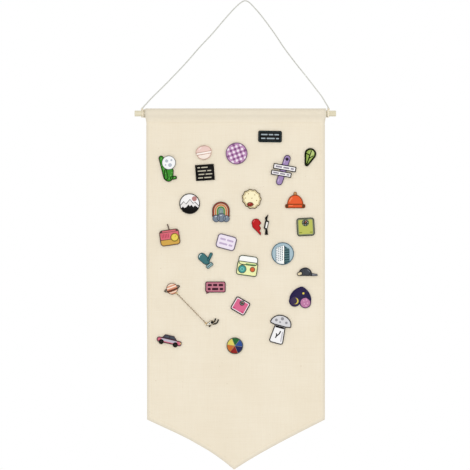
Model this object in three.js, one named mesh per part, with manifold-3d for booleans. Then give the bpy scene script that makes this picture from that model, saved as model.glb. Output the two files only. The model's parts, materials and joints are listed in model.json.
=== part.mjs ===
// A canvas pennant that shows enamel pins, hung from a dowel and a cord.
// Millimetres, +Z up, the front faces -Y. The origin is where the cord lies on its nail.
// Every pin is drawn in its own plane, x to the right and y up, with its post at 0, 0.

import * as THREE from 'three';
import { mergeVertices } from 'three/addons/utils/BufferGeometryUtils.js';
import Module from 'manifold-3d';

const wasm = await Module();
wasm.setup();

// Dowel
const dowelDiameter = 8.2;
const dowelLength = 282;
const dowelChamfer = 0.6;
const dowelCentreX = -13.7;
const dowelDrop = 157.1;

// Canvas. Drops are measured down from the dowel's axis.
const bannerWidth = 250;
const bannerCentreX = -13.3;
const cornerDrop = 428.5;
const pointDepth = 70;
const tipShift = -2.7;
const edgeBow = 3.4;
const clothThickness = 0.9;
const hemWidth = 8;
const sleeveClearance = 0.8;
const sleevePinch = 0.15;
const stitchDrop = 10;
const flapDrop = 16;
const fieldDrop = 352;

// Pin plates and posts
const plateThickness = 1.5;
const plateGap = 0.3;
const rimWidth = 0.9;
const enamelRecess = 0.3;
const postDiameter = 1.1;
const postLength = 8;
const postTip = 1.5;
const postSides = 6;
const notchDepth = 0.14;
const notchWidth = 0.7;
const notchReach = 4.2;
const holeClearance = 0.3;
const holeSides = 6;

// Butterfly clutches
const clutchGap = 0.3;
const flangeDiameter = 9.4;
const flangeHeight = 0.9;
const hubDiameter = 4.6;
const hubHeight = 4.9;
const hubRound = 0.7;
const clutchClearance = 0.2;
const clutchSides = 8;
const wingSpan = 12.6;
const wingWidth = 5.2;
const wingThickness = 0.6;
const wingRise = 2.6;

// Cord
const cordDiameter = 1.6;
const cordGap = 0.3;
const windingGap = 0.5;
const loopSteps = 24;
const cordSides = 6;
const legSteps = 56;
const leftLoops = 2.25;
const rightLoops = 1.25;
const leftFootX = -145;
const rightFootX = 117.1;

// The cord's legs from the left end of the dowel over the nail to the right end, x, y, z
const legRoute = [
  [-144.9, 5.1, -152.6],
  [-143.2, 4.9, -148.9],
  [-138.1, 4.7, -143.1],
  [-129.0, 4.3, -133.3],
  [-118.9, 4.0, -123.5],
  [-99.5, 3.3, -103.9],
  [-81.1, 2.7, -84.3],
  [-64.0, 2.1, -64.7],
  [-45.7, 1.4, -45.1],
  [-29.0, 0.9, -25.5],
  [-17.7, 0.5, -12.9],
  [-10.7, 0.3, -5.9],
  [-5.6, 0.1, -1.7],
  [0.0, 0.0, 0.8],
  [6.0, 0.1, -1.7],
  [10.2, 0.3, -5.9],
  [16.7, 0.5, -12.9],
  [26.8, 0.9, -25.5],
  [41.2, 1.4, -45.1],
  [54.3, 2.1, -64.7],
  [69.0, 2.7, -84.3],
  [84.6, 3.3, -103.9],
  [99.9, 4.0, -123.5],
  [107.4, 4.3, -133.3],
  [113.3, 4.7, -143.1],
  [116.6, 4.9, -149.0],
  [117.1, 5.1, -152.6],
];

// Chain between two pins
const linkLength = 4.4;
const linkWidth = 1.6;
const linkWire = 0.4;
const linkSink = 0.12;
const linkSides = 4;
const linkSteps = 8;
const ringSteps = 10;
const jumpRingRadius = 1.0;
const eyeletHole = 0.8;
const eyeletWall = 0.6;
const eyeletThickness = 0.5;

// Outlines
const dowelSteps = 24;
const bowSteps = 4;
const discSteps = 20;
const smallSteps = 12;
const halfSteps = 10;
const cornerSteps = 3;
const roundSteps = 6;
const sharpCorner = 0.6;
const cutPast = 1;

const degrees = Math.PI / 180;

// Points on an arc from one angle to another
function arc(x, y, radius, from, to, steps, radiusY = radius) {
  const points = [];
  for (let i = 0; i <= steps; i++) {
    const angle = (from + ((to - from) * i) / steps) * degrees;
    points.push(new THREE.Vector2(x + radius * Math.cos(angle), y + radiusY * Math.sin(angle)));
  }
  return points;
}

function disc(x, y, radius, steps = discSteps) {
  return arc(x, y, radius, 0, 360 - 360 / steps, steps - 1);
}

function ellipse(x, y, radiusX, radiusY, steps = discSteps) {
  return arc(x, y, radiusX, 0, 360 - 360 / steps, steps - 1, radiusY);
}

function outline(pairs) {
  return pairs.map(([x, y]) => new THREE.Vector2(x, y));
}

function roundRect(x, y, width, height, corner) {
  const left = x - width / 2 + corner;
  const right = x + width / 2 - corner;
  const low = y - height / 2 + corner;
  const high = y + height / 2 - corner;
  return [
    ...arc(right, low, corner, -90, 0, cornerSteps),
    ...arc(right, high, corner, 0, 90, cornerSteps),
    ...arc(left, high, corner, 90, 180, cornerSteps),
    ...arc(left, low, corner, 180, 270, cornerSteps),
  ];
}

function bar(x, y, width, height) {
  const halfWidth = width / 2;
  const halfHeight = height / 2;
  return outline([
    [x - halfWidth, y - halfHeight],
    [x + halfWidth, y - halfHeight],
    [x + halfWidth, y + halfHeight],
    [x - halfWidth, y + halfHeight],
  ]);
}

// The shape that a band makes round two circles
function taper(x0, y0, radius0, x1, y1, radius1) {
  const run = Math.hypot(x1 - x0, y1 - y0);
  const heading = Math.atan2(y1 - y0, x1 - x0) / degrees;
  const lean = Math.acos((radius0 - radius1) / run) / degrees;
  return [
    ...arc(x1, y1, radius1, heading - lean, heading + lean, roundSteps),
    ...arc(x0, y0, radius0, heading + lean, heading - lean + 360, roundSteps),
  ];
}

function capsule(x0, y0, x1, y1, width) {
  return taper(x0, y0, width / 2, x1, y1, width / 2);
}

function turned(points, angle) {
  const centre = new THREE.Vector2(0, 0);
  return points.map((point) => point.clone().rotateAround(centre, angle * degrees));
}

function moved(points, x, y) {
  const step = new THREE.Vector2(x, y);
  return points.map((point) => point.clone().add(step));
}

// The same outline drawn in by a distance along its corners' bisectors, held back at sharp corners
function inset(points, distance = rimWidth) {
  const count = points.length;
  const wound = THREE.ShapeUtils.area(points) > 0 ? 1 : -1;
  return points.map((point, i) => {
    const before = point.clone().sub(points[(i + count - 1) % count]).normalize();
    const after = points[(i + 1) % count].clone().sub(point).normalize();
    const inward = new THREE.Vector2(-before.y - after.y, before.x + after.x).multiplyScalar(wound);
    const miter = 2 / Math.max(inward.lengthSq(), sharpCorner);
    return point.clone().addScaledVector(inward, distance * miter);
  });
}

// A line of points drawn as a band of one width
function band(pairs, width) {
  const line = outline(pairs);
  const last = line.length - 1;
  const sides = [[], []];
  line.forEach((point, i) => {
    const along = line[Math.min(i + 1, last)].clone().sub(line[Math.max(i - 1, 0)]).normalize();
    const across = new THREE.Vector2(-along.y, along.x).multiplyScalar(width / 2);
    sides[0].push(point.clone().sub(across));
    sides[1].unshift(point.clone().add(across));
  });
  return [...sides[0], ...sides[1]];
}

function toSolid(geometry) {
  geometry.deleteAttribute('normal');
  geometry.deleteAttribute('uv');
  const merged = mergeVertices(geometry, 1e-4);
  const vertProperties = new Float32Array(merged.attributes.position.array);
  const triVerts = new Uint32Array(merged.index.array);
  return new wasm.Manifold(new wasm.Mesh({ numProp: 3, vertProperties, triVerts }));
}

function toGeometry(solid) {
  const { vertProperties, triVerts } = solid.getMesh();
  const geometry = new THREE.BufferGeometry();
  geometry.setAttribute('position', new THREE.BufferAttribute(vertProperties, 3));
  geometry.setIndex(new THREE.BufferAttribute(triVerts, 1));
  return geometry;
}

// An outline pulled up from base by a height
function slab(points, base, height) {
  const settings = { depth: height, bevelEnabled: false };
  const geometry = new THREE.ExtrudeGeometry(new THREE.Shape(points), settings);
  geometry.translate(0, 0, base);
  return toSolid(geometry);
}

function join(solids) {
  return solids.reduce((all, solid) => all.add(solid));
}

// A closed profile of radius and height turned about the local z axis
function turnedBody(pairs, segments) {
  const geometry = new THREE.LatheGeometry(outline(pairs), segments);
  geometry.rotateX(Math.PI / 2);
  return toSolid(geometry);
}

const object = new THREE.Group();

function addPart(name, solidOrGeometry, material, place = null) {
  const geometry = solidOrGeometry.isBufferGeometry ? solidOrGeometry : toGeometry(solidOrGeometry);
  geometry.computeVertexNormals();
  const mesh = new THREE.Mesh(geometry, material);
  mesh.name = name;
  const parent = place ?? object;
  parent.add(mesh);
}

function finish(color, roughness, metalness) {
  return new THREE.MeshStandardMaterial({ color, roughness, metalness });
}

const canvasFinish = finish(0xf0e6d0, 0.95, 0);
const woodFinish = finish(0xe6dab4, 0.7, 0);
const cordFinish = finish(0xd9d8d0, 0.95, 0);
const brassFinish = finish(0xd9b56a, 0.35, 1);
const enamelFinish = (color) => finish(color, 0.35, 0.3);

// Dowel, with its ends broken by a small chamfer
function buildDowel() {
  const radius = dowelDiameter / 2;
  const half = dowelLength / 2;
  const profile = outline([
    [0, -half],
    [radius - dowelChamfer, -half],
    [radius, -half + dowelChamfer],
    [radius, half - dowelChamfer],
    [radius - dowelChamfer, half],
    [0, half],
  ]);
  const geometry = new THREE.LatheGeometry(profile, dowelSteps);
  geometry.rotateZ(-Math.PI / 2);
  geometry.translate(dowelCentreX, 0, -dowelDrop);
  addPart('dowel', toSolid(geometry), woodFinish);
}

// The sleeve's section, y across and z up from the dowel's axis: a loop that closes at two feet below
function loopOutline(radius, halfGap, drop) {
  const reach = Math.hypot(halfGap, drop);
  const tangent = (Math.atan2(-drop, halfGap) + Math.acos(radius / reach)) / degrees;
  return [
    new THREE.Vector2(halfGap, -drop),
    ...arc(0, 0, radius, tangent, 180 - tangent, dowelSteps),
    new THREE.Vector2(-halfGap, -drop),
  ];
}

// A section of y and z run along x between two ends
function alongX(points, from, to) {
  const settings = { depth: to - from, bevelEnabled: false };
  const geometry = new THREE.ExtrudeGeometry(new THREE.Shape(points), settings);
  geometry.applyMatrix4(new THREE.Matrix4().set(0, 0, 1, from, 1, 0, 0, 0, 0, 1, 0, 0, 0, 0, 0, 1));
  return toSolid(geometry);
}

// Turns a slab drawn in x and y, with its height to the front, to stand in x and z
const facing = new THREE.Matrix4().set(1, 0, 0, 0, 0, 0, -1, 0, 0, 1, 0, 0, 0, 0, 0, 1);

function standing(points, base, height) {
  return slab(points, base, height).transform(facing.elements);
}

// The two lower edges from corner to tip to corner, each drawn up a little between its ends
function lowerEdge(half) {
  const side = (cornerX) =>
    Array.from({ length: bowSteps }, (_, i) => {
      const share = i / bowSteps;
      const bow = edgeBow * 4 * share * (1 - share);
      return [cornerX + (tipShift - cornerX) * share, bow - cornerDrop - pointDepth * share];
    });
  return [...side(-half), [tipShift, -cornerDrop - pointDepth], ...side(half).reverse()];
}

// Canvas: front sheet, hems folded behind it, and the sleeve sewn shut at its stitch line
function buildBanner(holes) {
  const half = bannerWidth / 2;
  const inHem = half - hemWidth;
  const edge = lowerEdge(half);
  const seamDrop = (stitchDrop + flapDrop) / 2;
  const field = outline([
    [-half, -seamDrop],
    [-half, -fieldDrop],
    [half, -fieldDrop],
    [half, -seamDrop],
  ]);
  const point = outline([[-half, -fieldDrop], ...edge, [half, -fieldDrop]]);
  const hemTop = hemWidth - flapDrop;
  const inside = inset(outline([[-half, hemTop], ...edge, [half, hemTop]]), hemWidth);
  const boreInHem = dowelDiameter / 2 + sleeveClearance;
  const bore = boreInHem + clothThickness;
  const sleeve = [
    new THREE.Vector2(clothThickness, -flapDrop),
    ...loopOutline(bore + clothThickness, clothThickness, stitchDrop),
    new THREE.Vector2(-clothThickness, -flapDrop),
  ];
  const hemTunnel = loopOutline(boreInHem, sleevePinch, stitchDrop - clothThickness);
  const tunnel = loopOutline(bore, sleevePinch, stitchDrop);
  const cloth = join([
    standing(field, -clothThickness, 2 * clothThickness),
    standing(point, -clothThickness, 2 * clothThickness),
  ])
    .subtract(standing(inside, -clothThickness - cutPast, clothThickness + cutPast))
    .add(alongX(sleeve, -half, half))
    .subtract(alongX(hemTunnel, -half - cutPast, half + cutPast))
    .subtract(alongX(tunnel, -inHem, inHem))
    .subtract(join(holes));
  const place = new THREE.Group();
  place.position.set(bannerCentreX, 0, -dowelDrop);
  object.add(place);
  addPart('canvas_banner', cloth, canvasFinish, place);
}

// A round tube along a list of points that sets out square to x, with flat ends
function tube(points, radius, sides) {
  const positions = [];
  const faces = [];
  const heading = (i) =>
    points[Math.min(i + 1, points.length - 1)].clone().sub(points[Math.max(i - 1, 0)]).normalize();
  let across = new THREE.Vector3(1, 0, 0);
  points.forEach((point, i) => {
    const along = heading(i);
    across = across.clone().addScaledVector(along, -across.dot(along)).normalize();
    const other = along.clone().cross(across);
    for (let side = 0; side < sides; side++) {
      const angle = (side / sides) * 2 * Math.PI;
      const corner = point
        .clone()
        .addScaledVector(across, radius * Math.cos(angle))
        .addScaledVector(other, radius * Math.sin(angle));
      positions.push(corner.x, corner.y, corner.z);
    }
    if (i === 0) return;
    for (let side = 0; side < sides; side++) {
      const next = (side + 1) % sides;
      const [a, b] = [(i - 1) * sides + side, (i - 1) * sides + next];
      const [c, d] = [i * sides + side, i * sides + next];
      faces.push(a, b, d, a, d, c);
    }
  });
  const end = (points.length - 1) * sides;
  for (let side = 1; side < sides - 1; side++) {
    faces.push(0, side + 1, side);
    faces.push(end, end + side, end + side + 1);
  }
  const geometry = new THREE.BufferGeometry();
  geometry.setAttribute('position', new THREE.Float32BufferAttribute(positions, 3));
  geometry.setIndex(faces);
  return geometry;
}

// The winding at one end of the dowel, from its tail to the foot of the leg, which leaves at the back
function winding(footX, inward, loops) {
  const radius = dowelDiameter / 2 + cordGap + cordDiameter / 2;
  const pitch = cordDiameter + windingGap;
  const steps = Math.round(loops * loopSteps);
  const points = [];
  for (let i = steps; i >= 0; i--) {
    const turn = (i / loopSteps) * 2 * Math.PI;
    const x = footX + (inward * pitch * i) / loopSteps;
    points.push(new THREE.Vector3(x, radius * Math.cos(turn), -dowelDrop - radius * Math.sin(turn)));
  }
  const tail = points[0].clone().sub(points[1]).normalize();
  const end = points[0].clone().addScaledVector(tail, cordDiameter);
  return [end, ...points];
}

// The least distance between stretches of the cord that lie more than one loop's half apart
function leastSelfGap(points) {
  const apart = loopSteps / 2;
  let least = Infinity;
  for (let i = 0; i < points.length; i++) {
    for (let j = i + apart; j < points.length; j++) {
      least = Math.min(least, points[i].distanceTo(points[j]) - cordDiameter);
    }
  }
  return least;
}

// Cord: wound round both ends of the dowel, with two legs that meet over the nail
function buildCord() {
  const left = winding(leftFootX, 1, leftLoops);
  const right = winding(rightFootX, -1, rightLoops).reverse();
  const legs = new THREE.CatmullRomCurve3([
    left.at(-1),
    ...legRoute.map((place) => new THREE.Vector3(...place)),
    right[0],
  ]);
  const points = [...left.slice(0, -1), ...legs.getSpacedPoints(legSteps), ...right.slice(1)];
  let length = 0;
  for (let i = 1; i < points.length; i++) length += points[i].distanceTo(points[i - 1]);
  const gap = leastSelfGap(points);
  console.log(`cord length ${length.toFixed(1)} mm, least gap to itself ${gap.toFixed(2)} mm`);
  addPart('hanging_cord', tube(points, cordDiameter / 2, cordSides), cordFinish);
}

// Post with a notch for the clutch's springs and a sharp end, set into the back of its plate
function buildPost() {
  const radius = postDiameter / 2;
  const sunk = plateThickness - enamelRecess * 2;
  const halfNotch = notchWidth / 2;
  return turnedBody(
    [
      [0, -postLength],
      [radius, postTip - postLength],
      [radius, -notchReach - halfNotch],
      [radius - notchDepth, -notchReach],
      [radius, -notchReach + halfNotch],
      [radius, sunk],
      [0, sunk],
    ],
    postSides,
  );
}

// Butterfly clutch: a round flange and hub with a bore, and two wings to squeeze
function buildClutch() {
  const bore = postDiameter / 2 + clutchClearance;
  const flange = flangeDiameter / 2;
  const hub = hubDiameter / 2;
  const body = turnedBody(
    [
      [bore, 0],
      [bore, -hubHeight],
      [hub - hubRound, -hubHeight],
      [hub, -flangeHeight],
      [flange, -flangeHeight],
      [flange, 0],
      [bore, 0],
    ],
    clutchSides,
  );
  const wingRoot = hub - hubRound;
  const wingTip = wingSpan / 2;
  const section = outline([
    [wingRoot, -flangeHeight],
    [wingTip - wingThickness, -flangeHeight - wingRise],
    [wingTip, -flangeHeight - wingRise],
    [flange, -flangeHeight + wingThickness / 2],
    [wingRoot, -flangeHeight + wingThickness / 2],
  ]);
  const wing = slab(section, -wingWidth / 2, wingWidth).transform(facing.elements);
  return join([body, wing, wing.rotate([0, 0, 180])]);
}

// The pins. Each has a plate made of outlines, enamel cells that are sunk into it, rims that stay
// standing in those cells, and inlays sunk inside the rims.

function cactus() {
  const tall = [-2.2, -12, -8.9, 15.2, 7];
  const main = [1.5, -11.2, 2, -3, 13.2];
  const arm = [6, -12.8, 10.8, -12, 5];
  const moon = [1.8, 8.8, 9.7];
  const thin = ([x0, y0, x1, y1, width]) => capsule(x0, y0, x1, y1, width - 2 * rimWidth);
  return {
    plates: [capsule(...tall), capsule(...main), capsule(...arm), disc(...moon)],
    cells: [thin(tall), thin(main), thin(arm)],
    rims: [disc(...moon)],
    inlays: [disc(moon[0], moon[1], moon[2] - rimWidth)],
  };
}

function macaron() {
  const width = 11.4;
  const shell = (x, y, reduce) => [
    ...arc(x, y, width - reduce, 0, 180, halfSteps, 9.6 - reduce),
    ...arc(x, -y, width - 1.2 - reduce, 180, 360, halfSteps, 8.4 - reduce),
  ];
  return {
    plates: [shell(0, 1, 0)],
    cells: [shell(0, 1, rimWidth)],
    rims: [bar(0, 1.4, 2 * width, 0.7), bar(0, -1.6, 2 * width, 0.7)],
  };
}

function gingham() {
  const radius = 15.25;
  return { plates: [disc(0, 0, radius)], cells: [disc(0, 0, radius - rimWidth)] };
}

// A plate with rows of short bars standing in its field
function plateWithBars(width, height, corner, rows) {
  const bars = rows.flatMap(([y, thickness, ...spans]) =>
    spans.map(([from, to]) => bar((from + to) / 2, y, to - from, thickness)),
  );
  const inner = Math.max(corner - rimWidth, rimWidth / 4);
  return {
    plates: [roundRect(0, 0, width, height, corner)],
    cells: [roundRect(0, 0, width - 2 * rimWidth, height - 2 * rimWidth, inner)],
    rims: bars,
  };
}

function blackLabel() {
  return plateWithBars(33.2, 16.1, 2.4, [
    [2.7, 2.4, [-12.5, -3.6], [-1.8, 4.4], [6.2, 12.5]],
    [-2.7, 2.4, [-12.5, -6.4], [-4.6, 6.6], [8.4, 12.5]],
  ]);
}

function blackNote() {
  return plateWithBars(26.3, 22.4, 0.4, [
    [7.2, 1.6, [-10, -6.4], [-4.8, 4.2]],
    [2.4, 1.6, [-10, 1.6], [3.4, 9]],
    [-2.4, 1.6, [-9, -1], [0.8, 10]],
    [-7.2, 1.6, [-10, -3.2], [-1.4, 8.6]],
  ]);
}

function lilacTag() {
  return plateWithBars(27.3, 20.3, 4.6, [
    [3.1, 2.6, [-9.4, -1.6], [0.4, 9.4]],
    [-3.1, 2.6, [-9.4, 2.2], [4.2, 9.4]],
  ]);
}

function leaf() {
  const shape = (reduce) => taper(1.1, 4.6, 8.2 - reduce, -3.9, -9.6, 3.2 - reduce);
  const edge = 2;
  return {
    plates: [shape(0)],
    cells: [shape(edge)],
    rims: [
      band([[-4.2, -10.4], [-1.4, -2.4], [1.6, 6.2], [2.6, 9.4]], 0.8),
      band([[-1.2, -2], [5, 2]], 0.7),
      band([[0.4, 2.6], [-4.6, 5.4]], 0.7),
    ],
  };
}

function signpost() {
  const post = capsule(5.6, 16.6, -5.6, -16.4, 9.4);
  const upper = (reduce) => moved(turned(bar(0, 0, 32.2 - reduce, 7.7 - reduce), -10), 2, 3.5);
  const lower = (reduce) => moved(turned(bar(0, 0, 28.7 - reduce, 7 - reduce), -10), -2.9, -4.9);
  return {
    plates: [post, upper(0), lower(0)],
    cells: [inset(post)],
    rims: [upper(0), lower(0)],
    inlays: [upper(2 * rimWidth), lower(2 * rimWidth)],
  };
}

function mountain() {
  const radius = 14.4;
  const sun = [6.6, 7];
  const ridge = [[-13.6, -2.4], [-8.4, 3], [-5, -0.6], [0.4, 6.2], [5, 0.4], [7.4, 2.6], [13.4, -3.4]];
  return {
    plates: [disc(0, 0, radius)],
    cells: [disc(0, 0, radius - rimWidth)],
    rims: [band(ridge, 0.9), disc(...sun, 3.6, smallSteps)],
    inlays: [disc(...sun, 2.9, smallSteps)],
  };
}

function biscuit() {
  const scallops = 11;
  const shape = (reduce) => {
    const points = [];
    for (let i = 0; i < scallops * 3; i++) {
      const angle = (i / (scallops * 3)) * 2 * Math.PI;
      const flat = 1 - 0.14 * Math.max(0, Math.cos(angle - 215 * degrees)) ** 2;
      const radius = (13.9 - reduce) * flat + 0.55 * Math.cos(scallops * angle);
      points.push(new THREE.Vector2(radius * Math.cos(angle), radius * Math.sin(angle)));
    }
    return points;
  };
  return {
    plates: [shape(0)],
    cells: [shape(rimWidth)],
    rims: [ellipse(-1.5, -7.2, 4.6, 3.2, smallSteps)],
    inlays: [ellipse(-1.5, -7.2, 3.9, 2.5, smallSteps)],
  };
}

function rainbow() {
  const springing = 2;
  const foot = -7;
  const radius = 12.3;
  const arch = (outer, inner) => [
    ...arc(0, springing, outer, 0, 180, halfSteps),
    ...outline([[-outer, foot], [-inner, foot]]),
    ...arc(0, springing, inner, 180, 0, halfSteps),
    ...outline([[inner, foot], [outer, foot]]),
  ];
  const outside = [
    ...arc(0, springing, radius, 0, 180, halfSteps),
    ...outline([[-radius, foot], [radius, foot]]),
  ];
  const puffs = [[-6.6, -9.3, 5.2], [0.6, -8.2, 6.3], [7.4, -9.7, 4.8]];
  const cloud = puffs.map(([x, y, radius]) => disc(x, y, radius, smallSteps));
  return {
    plates: [outside, ...cloud],
    cells: [arch(11.5, 9.3), arch(8.6, 6.4), arch(5.7, 3.5)],
    rims: cloud,
    inlays: puffs.map(([x, y, radius]) => disc(x, y, radius - rimWidth, smallSteps)),
  };
}

function bell() {
  const dome = (reduce) => arc(0, -6.2, 11.4 - reduce, 0, 180, halfSteps, 14 - reduce);
  const foot = roundRect(0, -8.2, 28.4, 6, 2.6);
  const knob = (reduce) => disc(0, 9.2, 2.5 - reduce, smallSteps);
  return {
    plates: [dome(0), foot, knob(0)],
    cells: [dome(rimWidth)],
    rims: [foot, knob(0)],
    inlays: [inset(foot), knob(rimWidth / 2)],
  };
}

function pinkRadio() {
  const width = 28;
  const height = 22.4;
  const corner = 4.4;
  const dial = [6.8, -0.6];
  const antenna = band([[0.6, 10.8], [-0.6, 18.4]], 1.5);
  const seams = [-2.6, 7.8].map((y) => bar(0, y, width, 0.8));
  return {
    plates: [roundRect(0, 0, width, height, corner), antenna],
    cells: [roundRect(0, 0, width - 2 * rimWidth, height - 2 * rimWidth, corner - rimWidth)],
    rims: [disc(...dial, 5.9), ...seams],
    inlays: [disc(...dial, 4.6)],
  };
}

function halfHeart() {
  const shape = [
    ...arc(-0.7, 5.6, 6.2, 30, 205, halfSteps),
    ...outline([[-6, 0], [5.8, -12], [6.4, -8.2], [4.4, -5.6], [6.2, -1.4], [4, 2], [6.6, 5.2]]),
  ];
  return { plates: [shape], cells: [inset(shape)] };
}

function bolt() {
  const shape = outline([
    [2.6, 14.3],
    [0.6, 6.2],
    [3.6, 4.6],
    [1.2, -6.2],
    [2.2, -14.3],
    [-2.6, -14.3],
    [-1.4, -7.4],
    [-4, -5],
    [-1.6, 6.4],
    [-2.2, 9.6],
  ]);
  const pale = outline([
    [-0.2, 3.6],
    [2.2, 3.4],
    [0.4, -5],
    [-1.8, -4.6],
  ]);
  return { plates: [shape], cells: [pale] };
}

function scale(width, height, corner, dialRadius) {
  const dialY = height / 2 - dialRadius - 2 * rimWidth;
  return {
    plates: [roundRect(0, 0, width, height, corner)],
    cells: [roundRect(0, 0, width - 2 * rimWidth, height - 2 * rimWidth, corner - rimWidth)],
    rims: [disc(0, dialY, dialRadius, smallSteps)],
    inlays: [disc(0, dialY, dialRadius - rimWidth, smallSteps)],
  };
}

function tower() {
  const radius = 15.75;
  const left = [[-9.6, -13], [-9.6, 8], [1.4, 11.6]];
  const edge = [[1.4, -15.4], [1.4, 11.8]];
  const right = [[1.4, 11.6], [9.4, 6], [9.4, -13]];
  const wall = 0.8;
  const sides = [left, right].flatMap(([a, b, c]) => [band([a, b], wall), band([b, c], wall)]);
  return {
    plates: [disc(0, 0, radius)],
    cells: [disc(0, 0, radius - rimWidth)],
    rims: [...sides, band(edge, wall)],
  };
}

function mitten() {
  const palm = taper(-4.6, 4.2, 5.8, 1.2, -1.4, 5.2);
  const thumb = capsule(4.6, 0.6, 8.2, 8.2, 4.6);
  const cuff = moved(turned(roundRect(0, 0, 10.4, 5.4, 1.4), 38), 6, -7.6);
  return {
    plates: [palm, thumb, cuff],
    cells: [inset(palm), inset(thumb)],
    rims: [cuff],
    inlays: [inset(cuff)],
  };
}

function boombox() {
  const speaker = [-6.8, -5.6];
  const knob = [7.6, -4.4];
  const body = (reduce) => roundRect(0, -4.2, 29.3 - 2 * reduce, 19.9 - 2 * reduce, 3.4 - reduce);
  const handle = roundRect(0, 7.2, 27.4, 13.6, 5);
  const grip = roundRect(0, 9.4, 24, 6.4, 2.6);
  return {
    plates: [body(0), handle],
    cells: [body(rimWidth)],
    rims: [disc(...speaker, 6), disc(...knob, 3.8, smallSteps)],
    inlays: [disc(...speaker, 4.9), disc(...knob, 2.9, smallSteps), grip],
  };
}

function cap() {
  const dome = [...arc(-3, -4, 9.6, 0, 180, halfSteps, 9.9), ...outline([[-12.6, -5.8], [6.6, -5.8]])];
  const thinRim = 0.6;
  const brim = taper(4.6, -3.8, 2.2, 13, -4.6, 1.4);
  const tab = capsule(-11.8, -3.2, -9.4, -2.4, 5.6);
  return {
    plates: [dome, brim, tab],
    cells: [inset(dome)],
    rims: [brim, tab],
    inlays: [inset(brim, thinRim), inset(tab, thinRim)],
  };
}

const planetRadius = 8;
const ringLength = 11.6;
const ringHeight = 3.5;
const ringBand = 1.5;
const ringTurn = 20;

function planet() {
  const ring = turned(ellipse(0, 0, ringLength, ringHeight), ringTurn);
  const gap = turned(ellipse(0, 0, ringLength - ringBand, ringHeight - ringBand), ringTurn);
  return {
    plates: [disc(0, 0, planetRadius), ring],
    cells: [disc(0, 0, planetRadius - rimWidth)],
    rims: [ring],
    inlays: [gap],
  };
}

const rocketNose = [-6.6, -2.9];
const rocketNoseRadius = 1.6;

function rocket() {
  const thinRim = 0.6;
  const trailWidth = 1.9;
  const body = (reduce) => taper(...rocketNose, rocketNoseRadius - reduce, -0.2, 0, 3.2 - reduce);
  const trails = [
    band([[0.6, -1.8], [4.6, -2], [7.6, 0.2], [9.2, 4.4]], trailWidth),
    band([[1.4, 1], [3.8, 1.6], [5.2, 5.8]], trailWidth),
    capsule(-1.6, -2.4, -3.4, -5.6, trailWidth),
  ];
  return { plates: [body(0), ...trails], cells: [body(thinRim)] };
}

function speech() {
  const plate = plateWithBars(28.4, 15.4, 2.6, [
    [2.8, 3.2, [-10.8, -5], [-3.4, 2.6], [4.4, 10.8]],
    [-2.8, 3.2, [-10.8, -6.6], [-4.8, 4], [5.8, 10.8]],
  ]);
  const tail = outline([[-12.4, -6], [-12.9, -9.8], [-7.2, -7]]);
  return { ...plate, plates: [...plate.plates, tail] };
}

function heart() {
  const lobe = 8.1;
  const lobeX = 7.5;
  const lobeY = -6.6;
  const side = [[14.7, 1.6], [12.3, 6], [8.9, 9.8], [4.6, 13.2]];
  const shape = [
    ...arc(lobeX, lobeY, lobe, 215, 375, halfSteps),
    ...outline([...side, [0, 14.9], ...side.toReversed().map(([x, y]) => [-x, y])]),
    ...arc(-lobeX, lobeY, lobe, 165, 325, halfSteps),
    ...outline([[0, -9.8]]),
  ];
  const skyline = band([[-15.4, -2.6], [-8, 0.4], [0, -2.2], [8, 0.4], [15.4, -2.6]], 0.8);
  const moon = [3, 5.6];
  return {
    plates: [shape],
    cells: [inset(shape)],
    rims: [skyline, disc(...moon, 2.2, smallSteps)],
    inlays: [disc(...moon, 1.6, smallSteps)],
  };
}

function car() {
  const lower = roundRect(0, -1.2, 35.3, 7, 2.8);
  const roof = outline([[-11.4, 1.6], [-7.4, 7.4], [5.4, 7.4], [11, 1.6]]);
  const rearWindow = outline([[-9.4, 2.9], [-6.6, 6.6], [-1.4, 6.6], [-1.4, 2.9]]);
  const frontWindow = outline([[-0.4, 2.9], [-0.4, 6.6], [5, 6.6], [8.6, 2.9]]);
  const axles = [[-10.8, -4], [9.4, -4]];
  const tyres = axles.map(([x, y]) => disc(x, y, 3.5, smallSteps));
  const hubs = axles.map(([x, y]) => disc(x, y, 1.7, smallSteps));
  return {
    plates: [lower, roof, ...tyres],
    cells: [inset(lower), rearWindow, frontWindow],
    rims: tyres,
    inlays: hubs,
  };
}

function colourWheel() {
  const radius = 11.6;
  const sectors = 6;
  const halfAngle = 180 / sectors;
  const wall = 0.35;
  const round = arc(0, 0, radius - rimWidth, -halfAngle, halfAngle, roundSteps);
  const wedge = inset([new THREE.Vector2(0, 0), ...round], wall);
  const cells = [];
  for (let i = 0; i < sectors; i++) {
    cells.push(turned(wedge, (2 * i + 1) * halfAngle));
  }
  return { plates: [disc(0, 0, radius)], cells };
}

function mushroom() {
  const hat = [
    ...arc(0, 7.2, 15.2, 8, 172, halfSteps, 13.2),
    ...arc(-13.4, 7.4, 1.8, 150, 262, cornerSteps),
    ...outline([[-8, 4.6], [8, 4.6]]),
    ...arc(13.4, 7.4, 1.8, 278, 390, cornerSteps),
  ];
  const stem = [
    ...arc(-6.4, -16.8, 3.6, 190, 270, cornerSteps),
    ...arc(6.4, -16.8, 3.6, 270, 350, cornerSteps),
    ...outline([[7.6, 6], [-7.6, 6]]),
  ];
  return {
    plates: [stem, hat],
    cells: [inset(stem)],
    rims: [hat],
    inlays: [inset(hat)],
  };
}

// A pin near a side keeps its distance from that edge, and the others keep theirs from the middle
const fromLeft = (distance) => distance - bannerWidth / 2;
const fromRight = (distance) => bannerWidth / 2 - distance;

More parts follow.
